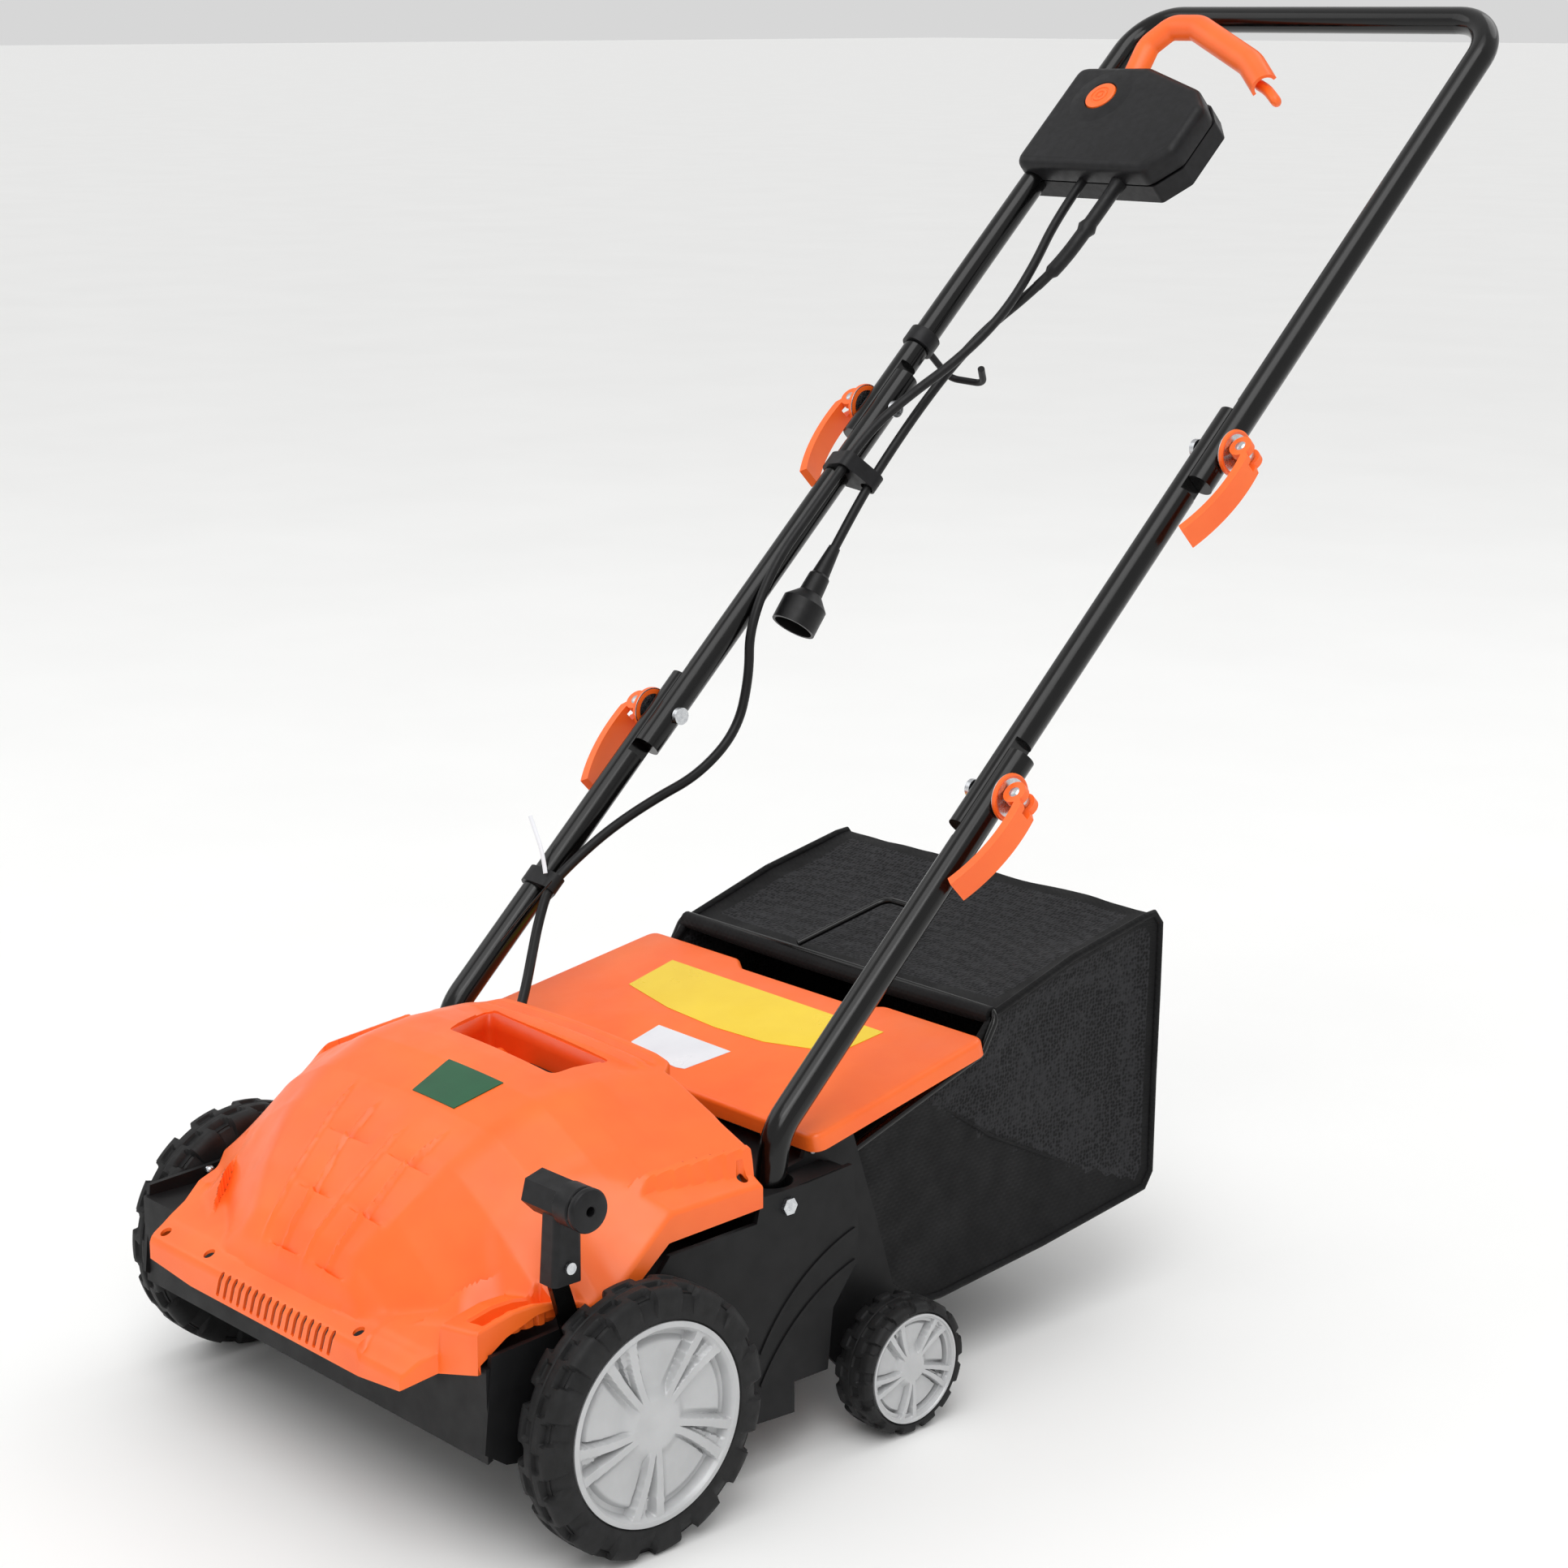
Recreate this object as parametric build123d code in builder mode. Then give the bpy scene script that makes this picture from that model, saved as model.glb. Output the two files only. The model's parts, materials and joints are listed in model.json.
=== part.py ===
from build123d import *
import math
import os

# Electric lawn dethatcher, millimetres. +X is the operator's left, the handle is toward +Y,
# +Z is up. The origin is on the ground under the middle of the machine.

# Overall sizes
overallLength = 1093.0
overallHeight = 999.0
overallWidth = 508.0
noseOverhang = 135.0  # front axle to the foremost point of the fenders

# Fits
runClear = 0.05  # radial clearance of a running fit
bodyGap = 0.4  # least gap between faces of different bodies

# Wheels
frontTyreR = 94.0
frontRimR = 71.0
frontTyreW = 36.0
rearTyreR = 50.0
rearRimR = 41.0
rearTyreW = 35.0
rearWheelOut = 234.0
wheelBase = 256.3
frontPinR = 6.0
rearPinR = 5.0

# Handle
tubeR = 11.0
tubeWall = 1.5
tubeX = 188.0
midTubeX = 177.5
barBendR = 42.0
upperLength = 457.0  # upper pivot to the top bar
middleLength = 329.0  # lower pivot to upper pivot
tubeFootY = 153.0  # lower tube's foot, behind the front axle
tubeFootZ = 180.0
tubeBendY = 162.7
tubeBendZ = 241.0
tubeBendR = 45.0
flatHalf = 45.0  # length each side of a pivot over which a tube end is flattened
endPast = 34.0  # tube end past its pivot
jointBoltR = 3.0

# Deck and cover
deckX = 209.0
deckWall = 4.0
deckTopZ = 150.0
deckFrontY = -106.0
chuteX = 186.0
coverWall = 3.0

# Reel and motor
reelY = 105.0
reelZ = 76.0
reelShaftR = 8.0
tineReach = 62.0
tineWire = 3.0
tinePitch = 30.0
motorY = 20.0
motorZ = 196.0
motorR = 40.0
smallPulleyR = 12.0
bigPulleyR = 28.0
beltX = -150.0
beltW = 10.0
beltThick = 3.0

# Height adjuster
crankArm = 22.0
crankTilt = 15.0  # the crank hangs this far below level at rest, degrees
crankShaftR = 6.0
crankPlate = 4.6

# Flap and bag
flapX = 198.0
flapFrontY = 190.0
flapFrontZ = 232.0
flapLength = 182.0
flapRise = 10.0  # degrees
flapWall = 3.0
bagX = 175.0
bagWall = 2.0
frameR = 3.0

# Cords
cordR = 4.0
cordEntryX = -118.0
cordEntryY = 166.0

os.makedirs("parts", exist_ok=True)

frontAxleY = -overallLength / 2 + noseOverhang
rearAxleY = frontAxleY + wheelBase
flapPinY = flapFrontY + 8
flapPinZ = flapFrontZ - 14
wheelX = overallWidth / 2
topY = overallLength / 2 - tubeR
topZ = overallHeight - tubeR
bendY = frontAxleY + tubeBendY
lineLength = math.hypot(topY - bendY, topZ - tubeBendZ)
dirY = (topY - bendY) / lineLength
dirZ = (topZ - tubeBendZ) / lineLength
lowerPivotS = -upperLength - middleLength
handle = Plane(origin=(0, topY, topZ), x_dir=(1, 0, 0), z_dir=(0, -dirZ, dirY))


def save(piece, name):
    piece.part.label = name
    export_step(piece.part, f"parts/{name}.step")


def yz(x):
    """Plane across the machine at x, with its own x along +Y and its y along +Z."""
    return Plane(origin=(x, frontAxleY, 0), x_dir=(0, 1, 0), z_dir=(1, 0, 0))


def across(x, y, z):
    """Plane with +X as its normal at a point given from the front axle."""
    return Plane(origin=(x, frontAxleY + y, z), x_dir=(0, 1, 0), z_dir=(1, 0, 0))


def rod(x0, x1, y, z, r):
    """A round bar along X, for use inside a part block."""
    with BuildSketch(across(x0, y, z)) as disc:
        Circle(r)
    extrude(disc.sketch, amount=x1 - x0)


def ringProfile(x0, x1, rIn, rOut, y, z, chamferBy):
    """A ring about an axis along X with chamfered outer corners, inside a part block."""
    plane = Plane(origin=(0, frontAxleY + y, z), x_dir=(1, 0, 0), z_dir=(0, -1, 0))
    with BuildSketch(plane) as profile:
        with BuildLine():
            Polyline(
                (x0, rIn),
                (x0, rOut - chamferBy),
                (x0 + chamferBy, rOut),
                (x1 - chamferBy, rOut),
                (x1, rOut - chamferBy),
                (x1, rIn),
                close=True,
            )
        make_face()
    revolve(profile.sketch, axis=Axis((0, frontAxleY + y, z), (1, 0, 0)))


# ---- wheels -----------------------------------------------------------------------------------
def makeTyre(name, side, outX, width, tyreR, rimR, y):
    inX = outX - width
    low, high = (inX, outX) if side > 0 else (-outX, -inX)
    with BuildPart() as tyre:
        ringProfile(low, high, rimR, tyreR, y, tyreR, 4)
        lugs = 15 if tyreR > 70 else 14
        for turn in range(lugs):
            angle = math.radians(360 / lugs * turn)
            cy = y + tyreR * math.cos(angle)
            cz = tyreR + tyreR * math.sin(angle)
            slot = Plane(
                origin=(high if side > 0 else low, frontAxleY + cy, cz),
                x_dir=(0, math.cos(angle), math.sin(angle)),
                z_dir=(side, 0, 0),
            )
            with BuildSketch(slot):
                Rectangle(11, tyreR * 0.1)
            extrude(amount=-width * 0.3, mode=Mode.SUBTRACT)
    save(tyre, name)


def makeWheel(name, side, outX, width, tyreR, rimR, pinR, y, spokes):
    inX = outX - width
    low, high = sorted((side * inX, side * outX))
    with BuildPart() as wheel:
        ringProfile(*sorted((side * (inX + 3), side * (outX - 4))), rimR - 6, rimR, y, tyreR, 1)
        rod(side * (inX + 1), side * (outX - 13.5), y, tyreR, pinR + 9)
        mid = (low + high) / 2
        with BuildSketch(across(mid - 2, y, tyreR)):
            Circle(rimR - 3)
            with PolarLocations((rimR + pinR) / 2, spokes):
                Circle((rimR - pinR) * 0.16, mode=Mode.SUBTRACT)
        extrude(amount=4)
        with BuildSketch(across(low, y, tyreR)):
            Circle(pinR + runClear)
        extrude(amount=width, mode=Mode.SUBTRACT)
    save(wheel, name)


def makeCover(name, side, outX, tyreR, rimR, pinR, y):
    """Spoked trim disc pressed into the rim from outside."""
    faceX = outX - 4.0
    with BuildPart() as cover:
        with BuildSketch(across(side * (faceX + 0.5), y, tyreR)):
            Circle(rimR - 0.3)
            Circle(pinR + 8, mode=Mode.SUBTRACT)
            with PolarLocations(rimR * 0.62, 5):
                SlotOverall(rimR * 0.42, rimR * 0.2, mode=Mode.SUBTRACT)
        extrude(amount=side * 3.0)
        with BuildSketch(across(side * (faceX + 0.5), y, tyreR)):
            Circle(pinR + 8)
        extrude(amount=side * 3.3)
        with BuildSketch(across(side * (faceX + 0.4), y, tyreR)):
            Circle(rimR - 0.3)
            Circle(rimR - 5, mode=Mode.SUBTRACT)
        extrude(amount=side * 3.6)
    save(cover, name)


for side, word in ((1, "left"), (-1, "right")):
    makeTyre(f"front_tyre_{word}", side, wheelX, frontTyreW, frontTyreR, frontRimR, 0)
    makeWheel(f"front_wheel_{word}", side, wheelX, frontTyreW, frontTyreR, frontRimR, frontPinR, 0, 5)
    makeCover(f"front_wheel_cover_{word}", side, wheelX, frontTyreR, frontRimR, frontPinR, 0)
    makeTyre(f"rear_tyre_{word}", side, rearWheelOut, rearTyreW, rearTyreR, rearRimR, wheelBase)
    makeWheel(
        f"rear_wheel_{word}", side, rearWheelOut, rearTyreW, rearTyreR, rearRimR, rearPinR, wheelBase, 5
    )
    makeCover(f"rear_wheel_cover_{word}", side, rearWheelOut, rearTyreR, rearRimR, rearPinR, wheelBase)

# ---- front crank axle and height lever --------------------------------------------------------
tilt = math.radians(crankTilt)
crankY = -crankArm * math.cos(tilt)  # the crank's own axis, from the wheel axis
crankZ = frontTyreR + crankArm * math.sin(tilt)
crankIn = deckX + 1.6
leverFootY = -50.0
leverFootZ = 193.8
leverHeadZ = 256.0

with BuildPart() as frontAxle:
    rod(-crankIn - 1, crankIn + 1, crankY, crankZ, crankShaftR)
    for side in (1, -1):
        with BuildSketch(across(side * crankIn, crankY / 2, (crankZ + frontTyreR) / 2)):
            SlotOverall(crankArm + 20, 20, rotation=-crankTilt)
        extrude(amount=side * crankPlate)
        rod(side * crankIn, side * (wheelX - 9), 0, frontTyreR, frontPinR)
    # the steel strap that carries the lever
    with BuildSketch(yz(crankIn)):
        with BuildLine():
            Polyline(
                (crankY - 9, crankZ),
                (leverFootY - 7, leverFootZ),
                (leverFootY - 7, leverFootZ + 30),
                (leverFootY + 7, leverFootZ + 30),
                (leverFootY + 7, leverFootZ),
                (crankY + 9, crankZ),
                close=True,
            )
        make_face()
    extrude(amount=crankPlate)
save(frontAxle, "front_axle")

gripX0, gripX1 = 194.0, 250.0
with BuildPart() as heightLever:
    with BuildSketch(Plane(origin=(215, frontAxleY + leverFootY, leverFootZ + 4))):
        RectangleRounded(18, 24, 4)
    with BuildSketch(Plane(origin=(218, frontAxleY + leverFootY, leverHeadZ))):
        RectangleRounded(17, 21, 4)
    loft()
    with BuildSketch(across(gripX0, leverFootY - 2, leverHeadZ)):
        RegularPolygon(14.5, 6, rotation=15)
    extrude(amount=gripX1 - gripX0)
    chamfer(heightLever.faces().sort_by(Axis.X)[-1].edges(), 2)
    chamfer(heightLever.faces().sort_by(Axis.X)[0].edges(), 2)
    with BuildSketch(across(gripX1 - 12, leverFootY - 2, leverHeadZ)):
        Circle(3.4)
    extrude(amount=20, mode=Mode.SUBTRACT)
    # pocket for the strap and hole for the screw
    with BuildSketch(Plane(origin=(crankIn + crankPlate / 2, frontAxleY + leverFootY, 0))):
        Rectangle(crankPlate + 0.2, 14.2)
    extrude(amount=leverFootZ + 30.5, mode=Mode.SUBTRACT)
    with BuildSketch(across(crankIn, leverFootY, leverFootZ + 16)):
        Circle(2.6)
    extrude(amount=20, mode=Mode.SUBTRACT)
save(heightLever, "height_lever")

with BuildPart() as leverScrew:
    rod(crankIn + crankPlate + 0.1, 224.9, leverFootY, leverFootZ + 16, 2.5)
    rod(224.9, 227.2, leverFootY, leverFootZ + 16, 4)
save(leverScrew, "lever_screw")

with BuildPart() as axleClips:
    for side in (1, -1):
        with BuildSketch(across(side * (wheelX - 11.6), 0, frontTyreR)):
            Circle(frontPinR + 4)
            Circle(frontPinR, mode=Mode.SUBTRACT)
        extrude(amount=side * 1.2)
save(axleClips, "front_axle_clips")

with BuildPart() as axleBushes:
    for side in (1, -1):
        with BuildSketch(across(side * (deckX - deckWall - 3), crankY, crankZ)):
            Circle(crankShaftR + 4)
            Circle(crankShaftR + runClear, mode=Mode.SUBTRACT)
        extrude(amount=side * (deckWall + 4))
save(axleBushes, "axle_bushes")

# ---- deck -------------------------------------------------------------------------------------
with BuildPart() as deck:
    for side in (1, -1):
        with BuildSketch(yz(side * (deckX - deckWall))):
            with BuildLine():
                Polyline(
                    (deckFrontY - 3, 92),
                    (-92, 80),
                    (120, 40),
                    (161, 38),
                    (161, 61),
                    (193, 61),
                    (198, 106),
                    (222, 136),
                    (222, 164),
                    (216, 209),
                    (130, 203),
                    (126, 188),
                    (48, 186),
                    (30, 166),
                    (deckFrontY + 4, 158),
                    close=True,
                )
            make_face()
        extrude(amount=side * deckWall)
        # curved stiffening ribs ahead of the rear wheel
        for lift in (0, -24):
            with BuildSketch(yz(side * deckX)):
                with BuildLine():
                    arcLine = ThreePointArc((218, 160 + lift), (172, 138 + lift), (130, 92 + lift))
                    offset(arcLine, amount=1.6)
                make_face()
            extrude(amount=side * 1.2)
        # chute side that carries the rear wheel, the flap and the bag
        with BuildSketch(yz(side * (chuteX - deckWall))):
            with BuildLine():
                Polyline(
                    (150, 62),
                    (150, 206),
                    (flapPinY - 8, flapPinZ - 5),
                    (flapPinY - 4.8, flapPinZ + 3.5),
                    (flapPinY - 2, flapPinZ + 5.8),
                    (flapPinY + 6, flapPinZ + 7.5),
                    (238, 222),
                    (262, 150),
                    (288, 66),
                    (276, 32),
                    (238, 32),
                    (214, 58),
                    close=True,
                )
            make_face()
        extrude(amount=side * deckWall)
        # web that ties the side wall to the chute side
        with BuildSketch(Plane(origin=(side * (chuteX + deckX) / 2, frontAxleY + 200, 112))):
            Rectangle(deckX - chuteX, deckWall)
        extrude(amount=92)
        # socket pad for the handle tube, on top
        padMid = (chuteX - deckWall + deckX) / 2
        with BuildSketch(Plane(origin=(side * padMid, frontAxleY + 173, 176))):
            Rectangle(deckX - chuteX + deckWall, 84)
        extrude(amount=30)
    with BuildSketch(yz(-deckX + 1)):
        with BuildLine():
            Polyline(
                (deckFrontY, 84),
                (deckFrontY, deckTopZ),
                (130, deckTopZ),
                (134, 204),
                (206, 209),
                (206, 205),
                (138, 200),
                (134, deckTopZ - deckWall),
                (deckFrontY + deckWall, deckTopZ - deckWall),
                (deckFrontY + deckWall, 86),
                close=True,
            )
        make_face()
    extrude(amount=2 * deckX - 2)
    # bosses for the reel bearings and the crank bushes
    for side in (1, -1):
        with BuildSketch(across(side * (deckX - deckWall - 8), reelY, reelZ)):
            Circle(24)
        extrude(amount=side * 10)
        with BuildSketch(across(side * (deckX - deckWall - 8), reelY, reelZ)):
            Circle(16)
        extrude(amount=side * 9, mode=Mode.SUBTRACT)
        with BuildSketch(across(side * (deckX - deckWall - 1), crankY, crankZ)):
            Circle(crankShaftR + 4)
        extrude(amount=side * 20, mode=Mode.SUBTRACT)
        # handle tube socket and its cross bolt
        with BuildSketch(Plane(origin=(side * tubeX, frontAxleY + tubeFootY + 4.5, tubeFootZ - 2))):
            Circle(tubeR + 5)
        extrude(amount=60, mode=Mode.SUBTRACT)
        rodY = tubeFootY + 2
        with BuildSketch(across(side * (deckX + 3), rodY, tubeFootZ + 14)):
            Circle(jointBoltR + 0.1)
        extrude(amount=-side * 44, mode=Mode.SUBTRACT)
        # rear axle hole
        with BuildSketch(across(side * (chuteX - 10), wheelBase, rearTyreR)):
            Circle(rearPinR)
        extrude(amount=side * 20, mode=Mode.SUBTRACT)
        # flap pin hole
        with BuildSketch(across(side * (chuteX - 10), flapPinY, flapPinZ)):
            Circle(2.5)
        extrude(amount=side * 20, mode=Mode.SUBTRACT)
    # belt slot through the top
    with BuildSketch(Plane(origin=(beltX, frontAxleY + 60, deckTopZ - 20))):
        RectangleRounded(beltW + 12, 120, 6)
    extrude(amount=40, mode=Mode.SUBTRACT)
    # saddle under the motor
    with BuildSketch(across(-56, motorY, motorZ)):
        with Locations((0, (deckTopZ - motorZ) / 2)):
            Rectangle(70, motorZ - deckTopZ)
        Circle(motorR, mode=Mode.SUBTRACT)
    extrude(amount=112)
    # raised gland where the motor cord goes in
    with BuildSketch(Plane(origin=(cordEntryX, frontAxleY + cordEntryY, 203))):
        Circle(cordR + 5)
    extrude(amount=9)
    with BuildSketch(Plane(origin=(cordEntryX, frontAxleY + cordEntryY, 190))):
        Circle(cordR + 0.8)
    extrude(amount=40, mode=Mode.SUBTRACT)
save(deck, "deck")

with BuildPart() as deckBolts:
    for side in (1, -1):
        rod(side * (deckX - 40), side * (deckX + 0.1), tubeFootY + 2, tubeFootZ + 14, jointBoltR)
        with BuildSketch(across(side * (deckX + 0.1), tubeFootY + 2, tubeFootZ + 14)):
            RegularPolygon(6.5, 6)
        extrude(amount=side * 2.6)
save(deckBolts, "deck_bolts")

# ---- top cover --------------------------------------------------------------------------------
# Each station: distance from the front axle, crease half width, then crown, shoulder, side,
# bottom and fender heights.
coverStations = (
    (-133, 60, 141, 139, 158, 127, 153),
    (-117, 62, 148, 146, 172, 127, 158),
    (-104, 75, 183, 158, 178, 127, 163),
    (-82, 84, 209, 174, 184, 132, 170),
    (-45, 93, 243, 204, 186, 140, 174),
    (-15, 98, 261, 226, 184, 146, 174),
    (24, 102, 274, 245, 196, 151, 178),
    (50, 105, 277, 249, 218, 156, 195),
    (131, 110, 274, 251, 219, 156, 201),
)
shoulderX = 158.0
fenderX = 212.0
finXs = (-42, -16, 20, 50)
# plan of the corners that the cover leaves to the front wheels: the far one is cut back further
leverCorner = [(157, -140), (167, -113), (220, -113), (220, -140)]
farCorner = [(-157, -140), (-164, -100), (-186, -58), (-200, -36), (-220, -30), (-220, -140)]


def coverSection(station, cut):
    """Half outline of the cover across the machine, cut inward by the wall when asked."""
    y, creaseX, crown, shoulder, sideZ, lowZ, fenderLow = station
    drop = coverWall if cut else 0
    deep = 30 if cut else 0
    edgeX = fenderX - drop
    return [
        (0, crown - drop),
        (creaseX - drop, crown - 2 - drop),
        (shoulderX - drop, shoulder - drop),
        (196 - drop, sideZ + 2 - drop),
        (edgeX, sideZ - drop),
        (edgeX, fenderLow - deep),
        (186 - drop, fenderLow - 8 - deep),
        (shoulderX - 6 - drop, lowZ - deep),
        (0, lowZ - deep),
    ]


def coverLoft(cut, firstShift, lastShift):
    """The cover's outer or inner form between the stations, as one solid part."""
    count = len(coverStations)
    with BuildPart() as form:
        for number in range(count - 1):
            a, b = coverStations[number], coverStations[number + 1]
            yA = a[0] + (firstShift if number == 0 else 0)
            yB = b[0] + (lastShift if number == count - 2 else 0)
            ends = []
            for y, station in ((yA, a), (yB, b)):
                half = coverSection(station, cut)
                outline = half + [(-x, z) for x, z in reversed(half[1:-1])]
                plane = Plane(origin=(0, frontAxleY + y, 0), x_dir=(1, 0, 0), z_dir=(0, -1, 0))
                with BuildSketch(plane) as section:
                    with BuildLine():
                        Polyline(*outline, close=True)
                    make_face()
                ends.append(section.sketch)
            loft(ends, ruled=True)
        for corner in (leverCorner, farCorner):
            with BuildSketch(Plane(origin=(0, frontAxleY, 60))) as plan:
                with BuildLine():
                    Polyline(*corner, close=True)
                make_face()
                if cut:
                    offset(amount=coverWall, kind=Kind.INTERSECTION)
            extrude(plan.sketch, amount=200, mode=Mode.SUBTRACT)
    return form.part


with BuildPart() as topCover:
    add(coverLoft(False, 0, 0))
    add(coverLoft(True, coverWall, coverWall + 2), mode=Mode.SUBTRACT)
    # room for the deck's top plate
    with BuildSketch(Plane(origin=(0, frontAxleY, 90))):
        with Locations((0, (deckFrontY - bodyGap + 140) / 2)):
            Rectangle(2 * fenderX + 2, 140 - deckFrontY + bodyGap)
    extrude(amount=deckTopZ + bodyGap - 90, mode=Mode.SUBTRACT)
    # hand hole with a grab rim behind it
    with BuildSketch(Plane(origin=(0, frontAxleY + 88, 200))):
        RectangleRounded(122, 48, 6)
    extrude(amount=100, mode=Mode.SUBTRACT)
    with BuildSketch(Plane(origin=(0, frontAxleY + 119, 262))):
        RectangleRounded(150, 14, 6)
    extrude(amount=19.5)
    # vent slots low on the front
    with BuildSketch(Plane(origin=(0, frontAxleY - 120, 133), x_dir=(1, 0, 0), z_dir=(0, -1, 0))):
        with GridLocations(8.0, 1, 17, 1):
            SlotOverall(9, 3, rotation=90)
    extrude(amount=30, mode=Mode.SUBTRACT)
    # slot for the height lever
    with BuildSketch(Plane(origin=(crankIn + crankPlate / 2 - 3, frontAxleY - 82, 160))):
        Rectangle(crankPlate + 14, 84)
    extrude(amount=60, mode=Mode.SUBTRACT)
    # room inside for the crank strap
    with BuildSketch(Plane(origin=(crankIn + crankPlate / 2, frontAxleY - 70, 90))):
        Rectangle(crankPlate + 3, 110)
    extrude(amount=97, mode=Mode.SUBTRACT)
    # raised fins on the hood
    for x in finXs:
        with BuildSketch(yz(x - 1.5)):
            with BuildLine():
                Polyline(
                    (-113, 156), (-113, 166), (-82, 213), (-45, 246.5), (-20, 258.5), (-20, 250), (-45, 236), (-82, 200),
                    close=True,
                )
            make_face()
        extrude(amount=3)
    # notches for the handle tubes
    for side in (1, -1):
        with BuildSketch(Plane(origin=(side * 200, frontAxleY + 136, 150))):
            Rectangle(40, 30)
        extrude(amount=100, mode=Mode.SUBTRACT)
save(topCover, "top_cover")

# heads in the recesses along the front and in the ears
with BuildPart() as coverScrews:
    for x, y, z in ((92, -133, 133), (120, -133, 132), (-92, -133, 133), (-120, -133, 132)):
        with BuildSketch(Plane(origin=(x, frontAxleY + y, z), x_dir=(1, 0, 0), z_dir=(0, -1, 0))):
            Circle(3.4)
        extrude(amount=1.6)
    for side in (1, -1):
        with BuildSketch(Plane(origin=(side * 204, frontAxleY + 112, 220.2))):
            Circle(3.2)
        extrude(amount=1.6)
save(coverScrews, "cover_screws")

# ---- motor and belt drive ---------------------------------------------------------------------
with BuildPart() as motorCan:
    rod(-56, 56, motorY, motorZ, motorR)
    with BuildSketch(across(-53, motorY, motorZ)):
        Circle(motorR - 3)
    extrude(amount=106, mode=Mode.SUBTRACT)
    with BuildSketch(across(-60, motorY, motorZ)):
        Circle(5 + runClear)
    extrude(amount=120, mode=Mode.SUBTRACT)
    with BuildSketch(across(-60, motorY, motorZ)):
        with PolarLocations(motorR * 0.62, 6):
            Circle(6)
    extrude(amount=120, mode=Mode.SUBTRACT)
save(motorCan, "motor_can")

with BuildPart() as motorRotor:
    rod(beltX - beltW / 2 - 4, 76, motorY, motorZ, 5)
    rod(-38, 38, motorY, motorZ, 27)
    rod(41, 50, motorY, motorZ, 13)
save(motorRotor, "motor_rotor")

with BuildPart() as motorFan:
    rod(60, 74, motorY, motorZ, 9)
    with BuildSketch(across(61, motorY, motorZ)):
        Circle(34)
    extrude(amount=2)
    for blade in range(8):
        angle = math.radians(45 * blade)
        place = Plane(
            origin=(62, frontAxleY + motorY, motorZ),
            x_dir=(0, math.cos(angle), math.sin(angle)),
            z_dir=(1, 0, 0),
        )
        with BuildSketch(place):
            with Locations((20, 0)):
                Rectangle(24, 2)
        extrude(amount=10)
    with BuildSketch(across(58, motorY, motorZ)):
        Circle(5)
    extrude(amount=20, mode=Mode.SUBTRACT)
save(motorFan, "motor_fan")


def makePulley(name, y, z, grooveR, boreR):
    with BuildPart() as pulley:
        rod(beltX - beltW / 2 - 1, beltX + beltW / 2 + 1, y, z, grooveR)
        for x0, x1 in (
            (beltX - beltW / 2 - 3, beltX - beltW / 2 - 0.8),
            (beltX + beltW / 2 + 0.8, beltX + beltW / 2 + 3),
        ):
            rod(x0, x1, y, z, grooveR + 3)
        with BuildSketch(across(beltX - beltW, y, z)):
            Circle(boreR)
        extrude(amount=2 * beltW, mode=Mode.SUBTRACT)
    save(pulley, name)


makePulley("drive_pulley", motorY, motorZ, smallPulleyR, 5)
makePulley("reel_pulley", reelY, reelZ, bigPulleyR, reelShaftR)

with BuildPart() as belt:
    with BuildSketch(across(beltX - beltW / 2, motorY, motorZ)):
        Circle(smallPulleyR + bodyGap + beltThick)
        with Locations((reelY - motorY, reelZ - motorZ)):
            Circle(bigPulleyR + bodyGap + beltThick)
        make_hull()
    extrude(amount=beltW)
    with BuildSketch(across(beltX - beltW / 2, motorY, motorZ)):
        Circle(smallPulleyR + bodyGap)
        with Locations((reelY - motorY, reelZ - motorZ)):
            Circle(bigPulleyR + bodyGap)
        make_hull()
    extrude(amount=beltW, mode=Mode.SUBTRACT)
save(belt, "belt")

# ---- reel -------------------------------------------------------------------------------------
reelEnd = deckX - deckWall - 1
with BuildPart() as reelShaft:
    rod(-reelEnd, reelEnd, reelY, reelZ, reelShaftR)
save(reelShaft, "reel_shaft")

with BuildPart() as reelBearings:
    for side in (1, -1):
        with BuildSketch(across(side * (deckX - deckWall - 7.6), reelY, reelZ)):
            Circle(15.9)
            Circle(reelShaftR + runClear, mode=Mode.SUBTRACT)
        extrude(amount=side * 8)
save(reelBearings, "reel_bearings")

with BuildPart() as reelTines:
    for row in range(10):
        x = (row - 4.5) * tinePitch
        with BuildSketch(across(x - 5, reelY, reelZ)):
            Circle(15)
            Circle(reelShaftR, mode=Mode.SUBTRACT)
        extrude(amount=10)
        for half in (0, 180):
            angle = math.radians(half + row * 54)
            wire = Plane(
                origin=(x, frontAxleY + reelY + 12 * math.cos(angle), reelZ + 12 * math.sin(angle)),
                x_dir=(1, 0, 0),
                z_dir=(0, math.cos(angle), math.sin(angle)),
            )
            with BuildSketch(wire):
                Circle(tineWire)
            extrude(amount=tineReach - 12)
save(reelTines, "reel_tines")

# ---- rear axle --------------------------------------------------------------------------------
with BuildPart() as rearAxle:
    rod(-rearWheelOut + 9, rearWheelOut - 9, wheelBase, rearTyreR, rearPinR)
save(rearAxle, "rear_axle")

with BuildPart() as rearClips:
    for side in (1, -1):
        with BuildSketch(across(side * (rearWheelOut - 11.6), wheelBase, rearTyreR)):
            Circle(rearPinR + 4)
            Circle(rearPinR, mode=Mode.SUBTRACT)
        extrude(amount=side * 1.2)
save(rearClips, "rear_axle_clips")

# ---- flap -------------------------------------------------------------------------------------
rise = math.radians(flapRise)
flapPlane = Plane(
    origin=(0, frontAxleY + flapFrontY, flapFrontZ),
    x_dir=(1, 0, 0),
    z_dir=(0, -math.sin(rise), math.cos(rise)),
)


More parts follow.
